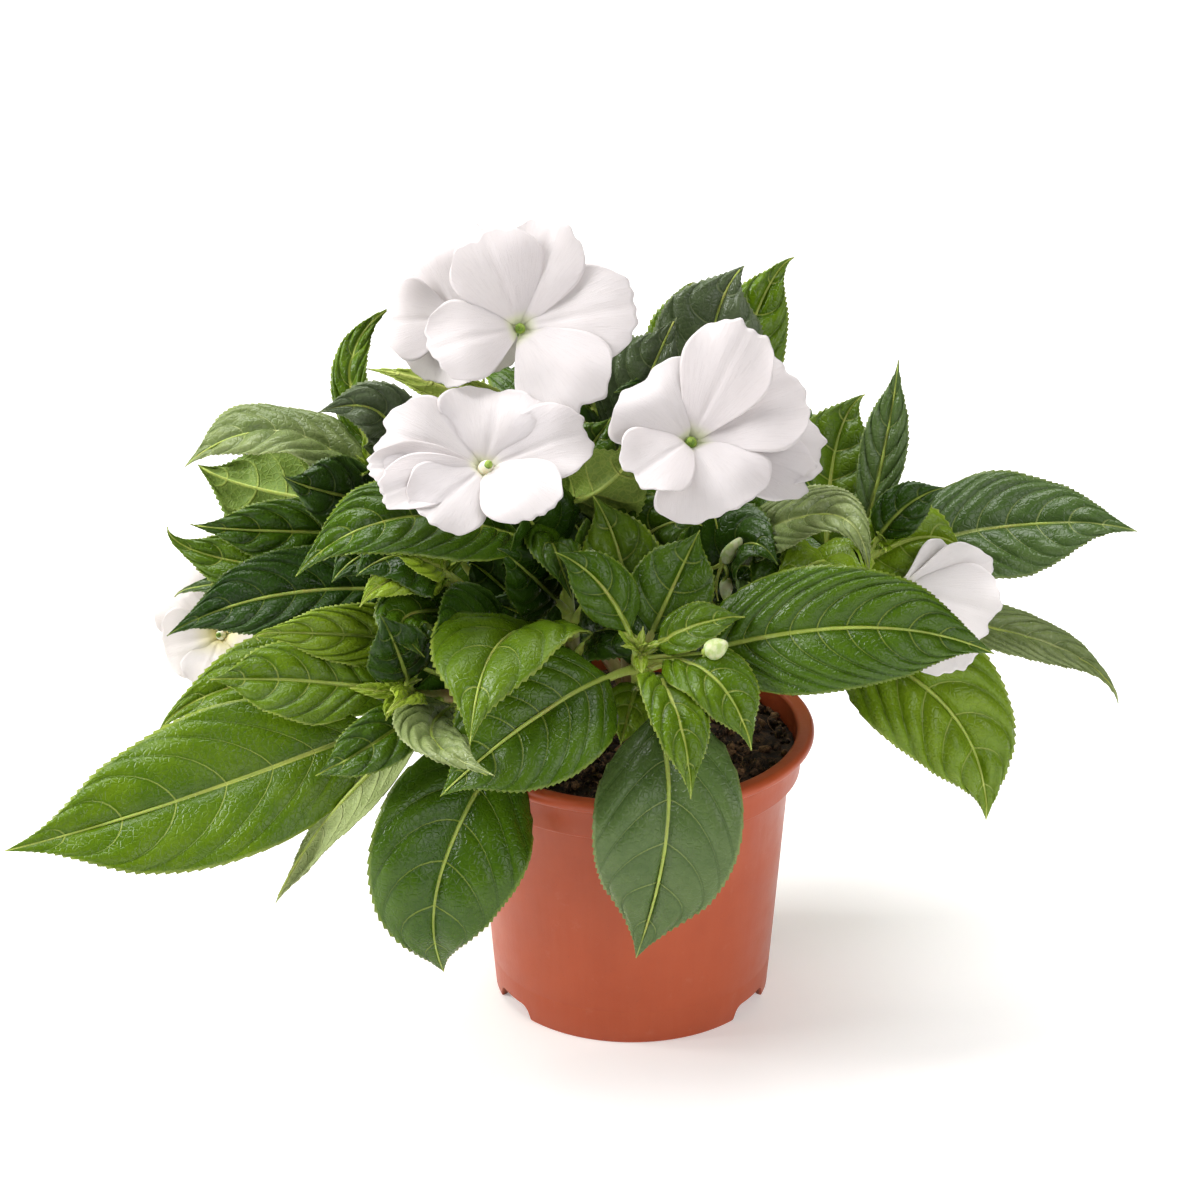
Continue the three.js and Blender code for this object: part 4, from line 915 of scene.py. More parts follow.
def pot_plastic():
    """Brick-red moulded plastic: faint mottling and flow lines, dusty patches, peat smears inside the lip."""
    finish = Finish("brick_red_plastic", IOR=1.40)
    where = finish.place()
    split = finish.node("SeparateXYZ")
    finish.join(split.inputs[0], where)
    x, y, z = split.outputs
    radius = finish.sum("SQRT", finish.sum("ADD", finish.sum("POWER", x, 2.0), finish.sum("POWER", y, 2.0)))
    middle_of_wall = finish.sum("MULTIPLY_ADD", z, 0.082, FOOT_RADIUS - 0.0009)
    inner = finish.between(finish.sum("SUBTRACT", middle_of_wall, radius), -0.0004, 0.0004)
    mottle = finish.between(finish.noise(where, 34.0, 5.0), 0.32, 0.68)
    colour = finish.mix(mottle, rgb(0.375, 0.062, 0.017), rgb(0.412, 0.072, 0.021))
    lines = finish.between(finish.noise(finish.drawn_out(where, 0.06), 420.0, 4.0), 0.4, 0.62)
    colour = finish.mix(finish.sum("MULTIPLY", lines, 0.03), colour, rgb(0.52, 0.17, 0.085))
    dust = finish.between(finish.noise(where, 150.0, 6.0, 0.7), 0.58, 0.75, 0.0, 0.12)
    colour = finish.mix(dust, colour, rgb(0.56, 0.27, 0.18))
    specks = finish.between(finish.noise(where, 1700.0, 2.0), 0.66, 0.72, 0.0, 0.35)
    colour = finish.mix(specks, colour, rgb(0.20, 0.05, 0.025))
    near_lip = finish.between(z, POT_HEIGHT - 0.016, POT_HEIGHT - 0.002, 0.75, 0.25)
    smears = finish.between(finish.noise(where, 95.0, 6.0, 0.65), 0.46, 0.60)
    soiled = finish.sum("MULTIPLY", finish.sum("MULTIPLY", inner, smears), near_lip)
    colour = finish.mix(soiled, colour, rgb(0.075, 0.045, 0.030))
    finish.bump(finish.noise(where, 900.0, 3.0), 0.00005, 0.6)
    finish.bump(lines, 0.00002, 0.4)
    gloss = finish.between(finish.noise(where, 60.0, 5.0), 0.3, 0.7, 0.33, 0.47)
    gloss = finish.sum("ADD", gloss, finish.sum("MULTIPLY", soiled, 0.35))
    return finish.paint(colour, gloss)


def peat_skin(name, dark, brown, scale):
    """Moist peat and bark: near black to brown, rough, with fine grain."""
    finish = Finish(name, IOR=1.3)
    where = finish.place()
    grain = finish.between(finish.noise(where, scale, 6.0, 0.7), 0.42, 0.66)
    colour = finish.mix(grain, rgb(*dark), rgb(*brown))
    finish.bump(finish.noise(where, scale * 2.5, 5.0, 0.7), 0.0006, 0.9)
    return finish.paint(colour, finish.between(finish.noise(where, scale * 0.5), 0.35, 0.65, 0.8, 1.0))


def floor_paint():
    """The plain pale floor, which also glows faintly: painted light that brightens it and pales the shadows
    cast on it.
    """
    finish = Finish("pale_floor", IOR=1.3, Emission_Color=rgb(1.0, 0.99, 0.98), Emission_Strength=FLOOR_GLOW)
    mottle = finish.patches(finish.place(), 3.0)
    return finish.paint(finish.mix(mottle, rgb(0.90, 0.89, 0.88), rgb(0.92, 0.91, 0.90)), 0.7)


# Leaves


class Plan:
    """How one leaf grows: its midrib, width, the way it looks and how its blade is shaped."""

    def __init__(
        self, start, mid, tip, width, looks, seed,
        fold=BLADE_FOLD, stalk=PETIOLE_SHARE, veins=None, quilt=1.0, young=False,
    ):
        self.curve = arch(start, mid, tip)
        self.width = width
        self.looks = unit(looks)
        self.fold = fold
        self.stalk = stalk
        self.blade_length = self.curve.length * (1 - stalk)
        self.draw = random.Random(seed)
        self.own = self.draw.random()
        self.veins = veins or max(FEWEST_VEINS, min(MOST_VEINS, round(self.blade_length / VEIN_SPACING)))
        self.quilt = QUILT * quilt
        self.rows_per_vein = YOUNG_ROWS_PER_VEIN if young else ROWS_PER_VEIN
        self.columns = YOUNG_COLUMN_PLACES if young else COLUMN_PLACES

    def frames(self, along):
        """The midrib's points, and the directions across it and out of the upper side."""
        t = self.curve.share(along)
        tangent = self.curve.heading(t)
        side = unit(np.cross(tangent, self.looks))
        return self.curve.at(t), side, np.cross(side, tangent)


def blade_shape(s):
    """The share of the full width along a blade, which ends in a drawn-out tip."""
    return 3.02 * np.power(np.clip(s, 0, 1), 0.65) * (1 - s) * (1 - TIP_HOLLOW * smooth(0.68, 0.97, s))


def vein_place(row, edge):
    """How far along the blade a side vein is: it leaves the midrib and then swings towards the tip."""
    row = np.clip(row, 0, 1)
    inner, outer = row**1.3, row**0.52
    return inner + (outer - inner) * (0.25 * edge + 0.75 * edge**2.2)


def quilting(plan, row, edge, offsets, spacing, ends):
    """How far the blade puffs up between its side veins, less at the rib, the margin and both ends."""
    phase = row * plan.veins
    puff = np.abs(np.sin(math.pi * phase)) ** QUILT_ROUNDNESS
    inner = smooth(0.02, 0.14, edge) * (1 - 0.7 * smooth(0.72, 1, edge))
    cushions = 1 + CUSHION_SHARE * np.sin(edge * 17 + np.floor(phase) * 2.4 + offsets)
    return plan.quilt * spacing * puff * inner * ends * cushions


def blade(bm, plan):
    """The blade: rows of the grid follow the side veins, which arch forward, and puff up between them."""
    draw, length = plan.draw, plan.blade_length
    rows = plan.veins * plan.rows_per_vein
    columns = len(plan.columns) - 1
    verts, row, column = grid(bm, rows, 2 * columns)
    across_index = np.round(column * 2 * columns) - columns
    hand = np.sign(across_index)
    edge = np.array(plan.columns)[np.abs(across_index).astype(int)]
    swept = vein_place(row, edge)
    half = 0.5 * plan.width * blade_shape(swept)

    # Teeth: every other vertex of the margin moves outwards and towards the tip
    peak = (np.round(row * rows) % TOOTH_ROWS) / (TOOTH_ROWS - 1)
    at_margin = edge == 1
    size = np.clip(half / TOOTHED_HALF_WIDTH, 0, 1)
    tooth = at_margin * peak * size * TOOTH_DEPTH * min(1, length / TOOTHED_LENGTH)
    swept = np.where(at_margin, vein_place(row + peak * size * TOOTH_LEAN / rows, edge), swept)
    half = np.maximum(half, np.where(row < 0.5, BLADE_BASE_HALF_WIDTH, BLADE_TIP_HALF_WIDTH))
    place, side, normal = plan.frames(plan.stalk + (1 - plan.stalk) * swept)

    # Lift: the quilting, the groove over the midrib, the fold, the ripple of the margin and a crumple
    turns = draw.uniform(*BLADE_RIPPLE_TURNS)
    offsets = np.where(hand < 0, draw.uniform(*ANY_TURN), draw.uniform(*ANY_TURN))
    patch = Vector((draw.uniform(*ANY_PATCH), draw.uniform(*ANY_PATCH), 0))
    ends = np.minimum(1, row * 7) * np.minimum(1, (1 - row) * 5)
    spacing = length / plan.veins
    lift = quilting(plan, row, edge, offsets, spacing, ends)
    lift -= RIB_GROOVE_DEPTH * np.exp(-((edge * half / RIB_GROOVE_HALF_WIDTH) ** 2)) * ends
    lift += plan.fold * half * (edge - BLADE_DROOP * edge**2)
    waves = np.sin(turns * 2 * math.pi * swept + offsets)
    lift += BLADE_RIPPLE * half * edge**2 * waves * BLADE_RIPPLE_GAIN
    flat = place + side * (hand * edge * half)[:, None]
    rough = np.array([noise.noise(Vector(p) * BLADE_CRUMPLE_SCALE + patch) for p in flat])
    lift += BLADE_CRUMPLE * rough * np.minimum(1, row * 3) * min(1, length / CRUMPLED_LENGTH)
    points = flat + side * (hand * tooth)[:, None] + normal * lift[:, None]
    put(verts, points)

    # Marks for the materials: the vein's phase, the places along and across, and the leaf's own number
    net = bm.verts.layers.float_vector["leaf_net"]
    rim = bm.verts.layers.float_vector["leaf_edge"]
    vein_gap = max(0.6, spacing / VEIN_SPACING)
    marks = zip(verts, row * plan.veins, swept, hand * edge * half * 100, edge)
    for vert, phase, along, beside, out in marks:
        vert[net] = (phase, along, beside)
        vert[rim] = (out, plan.own, vein_gap)
    face_up(bm, verts, points, normal)
    thicken(bm, verts, BLADE_THICKNESS, under=1)


def rib(bm, plan):
    """The leaf stalk, which goes on as a raised midrib under the blade and thins out to the tip."""
    rib_end = 0.97
    shares = np.concatenate([np.linspace(0, plan.stalk, 7), np.linspace(plan.stalk, rib_end, 18)[1:]])
    place, _, normal = plan.frames(shares)
    start = place[0] - unit(place[1] - place[0]) * 0.0012
    size = min(1, 0.45 + plan.width / 0.05)
    taper = np.interp(shares, [0, 0.04, plan.stalk, 0.3, rib_end], [1.35, 1.1, 1, 0.72, 0.2])
    radii = PETIOLE_RADIUS * size * taper
    depth = radii * 0.62 + BLADE_THICKNESS * 0.5 + 0.0001
    sunk = smooth(plan.stalk * 0.5, plan.stalk * 1.3, shares) * depth
    path = np.vstack([start, place - normal * sunk[:, None]])
    tube(bm, path, np.concatenate([[radii[0]], radii]), 8, finish=2)


def leaf_mesh(plans):
    """One bmesh with the leaves of these plans."""
    whole = bmesh.new()
    for plan in plans:
        bm = bmesh.new()
        bm.verts.layers.float_vector.new("leaf_net")
        bm.verts.layers.float_vector.new("leaf_edge")
        blade(bm, plan)
        rib(bm, plan)
        part = bpy.data.meshes.new("part")
        bm.to_mesh(part)
        bm.free()
        whole.from_mesh(part)
        bpy.data.meshes.remove(part)
    return whole


def branch_curve(branch):
    """A branch leaves the peat straight up, bends and ends in its crown."""
    foot = np.array([*branch["root"], SOIL_TOP + SOIL_CROWN + CLEARANCE])
    return Curve(foot, foot + (0, 0, STEM_RISE), branch["bend"], branch["tip"])


def leaf_start(leaf):
    """Where a leaf leaves its branch: the branch's surface, on the side that the leaf grows to."""
    branch = BRANCHES[leaf["branch"]]
    curve = CURVES[leaf["branch"]]
    centre, tangent = curve.at(leaf["at"]), curve.heading(leaf["at"])
    outwards = np.array(leaf["mid"]) - centre
    outwards = unit(outwards - tangent * (outwards @ tangent))
    return centre + outwards * branch["radius"] * (1 + (STEM_TAPER - 1) * leaf["at"])


def leaf_piece(name, leaf, replaces=()):
    """One leaf of the tables as a finished piece."""
    options = {key: leaf[key] for key in ("fold", "stalk", "veins", "quilt") if key in leaf}
    plan = Plan(leaf_start(leaf), leaf["mid"], leaf["tip"], leaf["width"], leaf["looks"], name, **options)
    finishes = [*LEAF_FINISHES[leaf["tone"]], STALK_GREEN]
    finish_piece(f"{name}_leaf", leaf_mesh([plan]), finishes, replaces)


# Flowers

VIEW_ACROSS = np.array([1, 0, 0])
VIEW_UP = np.array([0, 0.42, 0.91])
VIEW_TOWARDS = np.array([0, -0.91, 0.42])


def in_view(across, up, towards):
    """A vector given across, up and towards the viewer."""
    return across * VIEW_ACROSS + up * VIEW_UP + towards * VIEW_TOWARDS


def petal_lift(across, along, half, width, layer, spin, cup, wave):
    """How far a petal rises from its flat fan: cupped, wavy, furrowed, curled back and sunk in the throat."""
    lift = layer * PETAL_LAYER * (0.3 + 1.8 * along)
    lift = lift + cup * half * across**2
    lift += wave * width * along**2 * np.sin(across * 3.4 + spin) * PETAL_WAVE_GAIN
    ripples = np.sin(along * 9 + spin * 1.7 + across * 2)
    lift += wave * width * along**2 * across**2 * ripples * PETAL_WAVE_GAIN
    furrow = np.exp(-((across / 0.08) ** 2)) * smooth(0.05, 0.3, along)
    lift -= PETAL_FURROW_DEPTH * furrow * (1 - 0.7 * along)
    lift += PETAL_THREAD_HEIGHT * np.sin(across * 30 + spin) * along * (1.2 - along)
    lift -= PETAL_CURL * width * smooth(0.5, 1.0, along) ** 2
    return lift - THROAT_DEPTH * np.exp(-((along / THROAT_SHARE) ** 2))


def petal(bm, eye, looks, reach, width, layer, draw, face=None, cup=0.0, wave=PETAL_WAVE):
    """A broad, round petal on a narrow base: a wavy fan with a shallow notch that rises out of the throat."""
    reach = in_view(*reach)
    length = np.linalg.norm(reach)
    curve = arch(eye, eye + 0.5 * reach + looks * PETAL_ARCH, eye + reach)
    verts, row, column = grid(bm, PETAL_ROWS, PETAL_COLUMNS)
    a, b = 2 * column - 1, 2 * row - 1
    across = a * np.sqrt(1 - b**2 / 2)
    along = (1 + b * np.sqrt(1 - a**2 / 2)) / 2
    half = 0.5 * width * (PETAL_WAIST + (1 - PETAL_WAIST) * smooth(-0.1, 0.72, along))
    spin = draw.uniform(*ANY_TURN)
    ruffle = 0.018 * np.sin(across * 9 + spin) + 0.010 * np.sin(across * 21 + 2 * spin)
    notch = PETAL_NOTCH * np.exp(-(((across - draw.uniform(-0.15, 0.15)) / 0.2) ** 2))
    along = np.clip(along + smooth(0.35, 1, along) * (ruffle - notch), 0, 1)
    t = curve.share(along)
    tangent = curve.heading(t)
    side = unit(np.cross(tangent, looks if face is None else in_view(*face)))
    normal = np.cross(side, tangent)
    lift = petal_lift(across, along, half, width, layer, spin, cup, wave)
    flat = curve.at(t) + side * (across * half)[:, None]
    patch = Vector((draw.uniform(*ANY_PATCH), draw.uniform(*ANY_PATCH), 0))
    rough = np.array([noise.noise(Vector(p) * PETAL_CRUMPLE_SCALE + patch) for p in flat])
    lift += PETAL_CRUMPLE * along * rough
    points = flat + normal * lift[:, None]
    put(verts, points)
    net = bm.verts.layers.float_vector["petal_net"]
    for vert, far, fan in zip(verts, along, across * half / (length * (along + 0.12))):
        vert[net] = (far, fan, 0)
    face_up(bm, verts, points, normal)
    thicken(bm, verts, PETAL_THICKNESS)


def corolla(name, flower, finish):
    """The petals of one flower, the first ones at the back."""
    bm = bmesh.new()
    bm.verts.layers.float_vector.new("petal_net")
    eye, looks = np.array(flower["eye"], float), unit(flower["looks"])
    draw = random.Random(name)
    for layer, shape in enumerate(flower["petals"]):
        options = shape[4] if len(shape) > 4 else {}
        petal(bm, eye, looks, shape[:3], shape[3], layer - 2, draw, **options)
    finish_piece(f"{name}_petals", bm, [finish], [f"flower_{name}"])


def flower_heart(name, flower, finishes):
    """The pale hood of stamens over the green ovary, in the flower's throat."""
    bm = bmesh.new()
    eye, looks = np.array(flower["eye"], float), unit(flower["looks"])
    lean = unit(looks + in_view(*flower.get("heart_lean", (0, 0, 0))))
    base = eye - looks * 0.002
    size = flower["heart"]
    ball(bm, base + lean * size * 0.9, lean, size * 2.4, size * 0.75, finish=0, detail=3, egg=0.25)
    ball(bm, base + lean * size * 1.9, lean, size * 1.3, size * 0.42, finish=1, detail=2, egg=0.5)
    throat = [base - looks * 0.003, base, base + lean * size * 0.4]
    tube(bm, throat, [0.0016, 0.0012, size * 0.5], 10, finish=0)
    finish_piece(f"{name}_heart", bm, finishes)


def flower_back(name, flower, finishes):
    """Behind the flower: the green sepals and the thin, hooked nectar spur."""
    bm = bmesh.new()
    eye, looks = np.array(flower["eye"], float), unit(flower["looks"])
    draw = random.Random(name + " back")
    down = np.array([0, 0, -1.0])
    root = eye - looks * 0.004
    side = unit(np.cross(looks, down))
    bend = root - looks * SPUR_REACH + down * 0.004 + side * draw.uniform(-SPUR_SWAY, SPUR_SWAY)
    hook = bend + down * SPUR_DROP + looks * 0.004 + side * draw.uniform(-SPUR_SWAY, SPUR_SWAY)
    spur = Curve(root, bend, hook)
    shares = np.linspace(0, 1, 16)
    tube(bm, spur.at(spur.share(shares)), np.interp(shares, [0, 0.15, 1], SPUR_RADII), 6, finish=0)
    for hand in (-1, 1):
        out = unit(side * hand + looks * -0.3 + down * -0.2)
        place = root + out * FLOWER_CUP_RADIUS - looks * 0.0006
        ball(bm, place, unit(out + looks * 0.5), SEPAL_LENGTH, SEPAL_RADIUS, finish=0, egg=0.4)
    finish_piece(f"{name}_spur", bm, finishes)


def stalk_curve(flower):
    """A flower stalk, from its branch to the back of the flower."""
    start = CURVES[flower["branch"]].at(flower["at"])
    looks = unit(flower["looks"])
    end = np.array(flower["eye"]) - looks * (FLOWER_CUP_RADIUS + CLEARANCE)
    middle = (end - looks * STALK_LEAD) * (1 - STALK_PULL) + start * STALK_PULL
    return Curve(start, middle, end + looks * STALK_SUNK)


# Stems


def stem(name, branch_names, finishes):
    """One plant's branches, thickened where leaves leave them, with the stalks of its flowers."""
    bm = bmesh.new()
    for branch_name in branch_names:
        branch, curve = BRANCHES[branch_name], CURVES[branch_name]
        t = np.linspace(0, 1, STEM_STEPS)
        radii = branch["radius"] * (1 + (STEM_TAPER - 1) * t)
        for leaf in LEAVES.values():
            if leaf["branch"] == branch_name:
                radii = radii * (1 + STEM_KNOT * np.exp(-(((t - leaf["at"]) / 0.02) ** 2)))
        path = np.vstack([curve.at(0) - (0, 0, STEM_DEPTH), curve.at(t)])
        verts = tube(bm, path, np.concatenate([[radii[0] * 1.15], radii]), STEM_SIDES)
        ridges = [noise.noise(v.co * 240) for v in verts]
        for vert, ridge in zip(verts, ridges):
            vert.normal_update()
            vert.co += vert.normal * ridge * STEM_ROUGHNESS
        for face in faces_of(verts):
            if face.calc_center_median().z > STEM_BLUSH_TOP:
                face.material_index = 1
    for flower in FLOWERS.values():
        if flower["branch"] in branch_names:
            curve = stalk_curve(flower)
            path = curve.at(curve.share(np.linspace(0, 1, STALK_STEPS)))
            radii = np.linspace(STALK_RADIUS * 1.15, STALK_RADIUS * 0.85, STALK_STEPS)
            tube(bm, path, radii, 10, finish=1)
    finish_piece(f"{name}_branches", bm, finishes, [name])


# Crowns of young leaves and buds at the branch tips


def crown(name, centre, axis, count, length, tone):
    """A spiral of young leaves round a branch tip, the inner ones small and upright."""
    draw = random.Random(name)
    centre, axis = np.array(centre, float), unit(axis)
    side = unit(np.cross(axis, (0.31, 0.9, 0.2)))
    other = np.cross(axis, side)
    plans = []
    for i in range(count):
        share = (i + 0.5) / count
        turn = i * GOLDEN_TURN + draw.uniform(-0.2, 0.2)
        out = side * math.cos(turn) + other * math.sin(turn)
        lean = 0.25 + 0.95 * share
        heading = unit(axis * math.cos(lean) + out * math.sin(lean))
        size = length * (0.35 + 0.65 * share) * draw.uniform(0.85, 1.15)
        root = centre - axis * 0.004 * share
        tip = root + heading * size + out * size * 0.12
        mid = root + heading * size * 0.5 + axis * size * 0.06
        looks = axis * 1.2 - out * 0.8
        width = size * CROWN_LEAF_WIDTH
        young = dict(fold=CROWN_FOLD, stalk=CROWN_STALK, young=True)
        plans.append(Plan(root, mid, tip, width, looks, f"{name} {i}", **young))
    finish_piece(f"{name}_crown", leaf_mesh(plans), [*LEAF_FINISHES[tone], STALK_GREEN])


def bud(bm, root, place, axis, length, radius):
    """A flower bud on its stalk: a pale pointed egg held by two green sepals, with a thin spur."""
    root, place, axis = np.array(root, float), np.array(place, float), unit(axis)
    back = place - axis * length * 0.5
    stalk = Curve(root, back - axis * length * 0.8 + (0, 0, 0.002), back)
    tube(bm, stalk.at(np.linspace(0, 1, 12)), np.linspace(0.0008, 0.0006, 12), 8, finish=1)
    ball(bm, place, axis, length, radius, finish=0, detail=3, egg=0.35)
    side = unit(np.cross(axis, (0.2, 0.3, 0.9)))
    for hand in (-1, 1):
        at = back + side * hand * radius * 0.6 + axis * length * 0.18
        ball(bm, at, unit(axis + side * hand * 0.3), length * 0.5, radius * 0.35, finish=1, egg=0.5)
    bend = back - axis * length * 0.5 + (0, 0, -0.004)
    hook = back - axis * length * 0.2 + (0, 0, -0.012)
    spur = Curve(back, bend, hook)
    tube(bm, spur.at(np.linspace(0, 1, 10)), np.linspace(0.0007, 0.0002, 10), 6, finish=1)


def buds(finishes):
    """All the flower buds of the plant as one piece."""
    bm = bmesh.new()
    for branch_name, at, place, axis, length, radius in BUDS:
        bud(bm, CURVES[branch_name].at(at), place, axis, length, radius)
    finish_piece("flower_buds", bm, finishes)


# The pot


def arc(centre, radius, start, end, steps):
    """Points of a profile on an arc, from a start to an end angle in degrees."""
    angles = np.radians(np.linspace(start, end, steps))
    return [(centre[0] + radius * math.cos(a), centre[1] + radius * math.sin(a)) for a in angles]


def spun(bm, profile, steps):
    """Spins a closed or on-axis profile of (radius, height) points once round the Z axis."""
    verts = [bm.verts.new((r, 0, z)) for r, z in profile]
    edges = [bm.edges.new(pair) for pair in zip(verts, verts[1:])]
    bmesh.ops.spin(
        bm, geom=verts + edges, cent=(0, 0, 0), axis=(0, 0, 1), angle=2 * math.pi, steps=steps, use_merge=True
    )
    bmesh.ops.remove_doubles(bm, verts=bm.verts[:], dist=1e-6)
    bmesh.ops.recalc_face_normals(bm, faces=bm.faces[:])


def wall_radius(height):
    """The outer radius of the tapered wall at a height."""
    return FOOT_RADIUS + (SHOULDER_RADIUS - FOOT_RADIUS) * height / (POT_HEIGHT - COLLAR_HEIGHT)


def pot_profile():
    """The pot's section: base, channel, foot ring, wall with its gate line, collar, rolled lip, inside."""
    collar_foot = POT_HEIGHT - COLLAR_HEIGHT
    lip_foot = POT_HEIGHT - LIP_DEPTH
    foot_inside = FOOT_RADIUS - FOOT_RING_WIDTH
    floor_top = CHANNEL_HEIGHT + WALL
    roll = LIP_DEPTH / 2
    gate = GATE_LINE_HEIGHT
    collar_top = COLLAR_RADIUS + COLLAR_DRAFT
    outside = [
        (0, 0),
        (BASE_DISC_RADIUS, 0),
        (BASE_DISC_RADIUS + BASE_DISC_DRAFT, CHANNEL_HEIGHT),
        (foot_inside, CHANNEL_HEIGHT),
        *arc((foot_inside + FOOT_INNER_FILLET, FOOT_INNER_FILLET), FOOT_INNER_FILLET, 180, 270, 4),
        *arc((FOOT_RADIUS - FOOT_OUTER_FILLET, FOOT_OUTER_FILLET), FOOT_OUTER_FILLET, 270, 350, 5),
        (wall_radius(gate - GATE_LINE_HALF), gate - GATE_LINE_HALF),
        (wall_radius(gate) - GATE_LINE_DEPTH, gate),
        (wall_radius(gate + GATE_LINE_HALF), gate + GATE_LINE_HALF),
        (wall_radius(WALL_MIDDLE), WALL_MIDDLE),
        (SHOULDER_RADIUS - TINY_STEP, collar_foot - SHOULDER_FILLET - 2 * TINY_STEP),
        *arc((SHOULDER_RADIUS + SHOULDER_FILLET, collar_foot - SHOULDER_FILLET), SHOULDER_FILLET, 180, 90, 4),
        *arc((COLLAR_RADIUS - COLLAR_FILLET, collar_foot + COLLAR_FILLET), COLLAR_FILLET, 270, 360, 5),
        (COLLAR_RADIUS + COLLAR_DRAFT * 0.5, (collar_foot + lip_foot) / 2),
        (collar_top - TINY_STEP, lip_foot - LIP_FILLET - 2 * TINY_STEP),
        *arc((collar_top + LIP_FILLET, lip_foot - LIP_FILLET), LIP_FILLET, 180, 90, 4),
        *arc((RIM_RADIUS - roll, lip_foot + roll), roll, 270, 450, 13),
    ]
    inside = [
        *arc((COLLAR_RADIUS, POT_HEIGHT - WALL), LIP_INNER_RADIUS, 80, 170, 5),
        (COLLAR_RADIUS - WALL, collar_foot + WALL),
        (SHOULDER_RADIUS - WALL, collar_foot - WALL),
        (FOOT_RADIUS - WALL, floor_top + FLOOR_FILLET),
        (FOOT_RADIUS - WALL - FLOOR_FILLET, floor_top),
        (BASE_DISC_RADIUS + WALL, floor_top),
        (BASE_DISC_RADIUS - WALL / 2, WALL),
        (0, WALL),
    ]
    return outside + inside


def is_upper_edge(edge):
    """Whether an edge of the notch's cutter runs inwards at the notch's full height."""
    a, b = (vert.co for vert in edge.verts)
    near = 1e-6
    return max(abs(a.z - NOTCH_HEIGHT), abs(b.z - NOTCH_HEIGHT), abs(a.x - b.x)) < near


def notch_cutter(bm, turn):
    """A rounded wedge that cuts one drainage notch through the foot ring."""
    half = NOTCH_WIDTH / 2
    narrow = half - NOTCH_SLANT
    corners = [(-half, -CUT_MARGIN), (half, -CUT_MARGIN), (narrow, NOTCH_HEIGHT), (-narrow, NOTCH_HEIGHT)]
    verts = [bm.verts.new((x, -FOOT_RADIUS - NOTCH_START, z)) for x, z in corners]
    moved = bmesh.ops.extrude_face_region(bm, geom=[bm.faces.new(verts)])["geom"]
    far = [item for item in moved if isinstance(item, bmesh.types.BMVert)]
    bmesh.ops.translate(bm, verts=far, vec=(0, NOTCH_REACH, 0))
    whole = verts + far
    upper = {edge for vert in whole for edge in vert.link_edges if is_upper_edge(edge)}
    rounded = bmesh.ops.bevel(
        bm, geom=list(upper), offset=NOTCH_ROUNDING, segments=5, profile=0.5, affect="EDGES", material=-1
    )
    everything = list({v for v in [*whole, *rounded["verts"]] if v.is_valid})
    bmesh.ops.recalc_face_normals(bm, faces=faces_of(everything))
    bmesh.ops.rotate(bm, verts=everything, cent=(0, 0, 0), matrix=Matrix.Rotation(turn, 3, "Z"))


def cut(piece, cutter):
    """Cuts one object out of another and removes the cutter."""
    knife = piece.modifiers.new("cut", "BOOLEAN")
    knife.operation = "DIFFERENCE"
    knife.solver = "EXACT"
    knife.object = cutter
    shown = piece.evaluated_get(bpy.context.evaluated_depsgraph_get())
    done = bpy.data.meshes.new_from_object(shown)
    piece.modifiers.remove(knife)
    piece.data = done
    bpy.data.objects.remove(cutter)


def pot(finish):
    """The moulded pot with its notches and drain holes."""
    bm = bmesh.new()
    spun(bm, pot_profile(), POT_STEPS)
    piece = finish_piece("nursery_pot", bm, [finish], ["pot"])
    bm = bmesh.new()
    for i in range(FOOT_NOTCHES):
        notch_cutter(bm, math.radians(NOTCH_TURN + 90 + i * 360 / FOOT_NOTCHES))
    for i in range(DRAIN_HOLES):
        turn = i * 2 * math.pi / DRAIN_HOLES
        size = dict(radius1=DRAIN_RADIUS, radius2=DRAIN_RADIUS, depth=DRAIN_CUT_DEPTH)
        hole = bmesh.ops.create_cone(bm, cap_ends=True, segments=DRAIN_SIDES, **size)["verts"]
        place = (DRAIN_RING_RADIUS * math.cos(turn), DRAIN_RING_RADIUS * math.sin(turn), CHANNEL_HEIGHT)
        bmesh.ops.translate(bm, verts=hole, vec=place)
    mesh = bpy.data.meshes.new("cutter")
    bm.to_mesh(mesh)
    bm.free()
    cutter = bpy.data.objects.new("cutter", mesh)
    bpy.context.scene.collection.objects.link(cutter)
    cut(piece, cutter)
    piece.data.shade_smooth()
    piece.data.set_sharp_from_angle(angle=math.radians(SHARP_ANGLE))


# The peat


def peat_height(x, y):
    """The peat's lumpy surface, lower towards the wall."""
    radius = math.hypot(x, y)
    crown_height = SOIL_CROWN * (1 - (radius / COLLAR_RADIUS) ** 2)
    lumps = noise.fractal(Vector((x, y, 0.3)) * LUMP_SCALE, 0.9, 2.1, 4) * LUMP_HEIGHT
    clods = max(0, noise.noise(Vector((x, y, 1.7)) * CLOD_SCALE)) * CLOD_HEIGHT
    return SOIL_TOP - SOIL_SINK + crown_height + lumps + clods


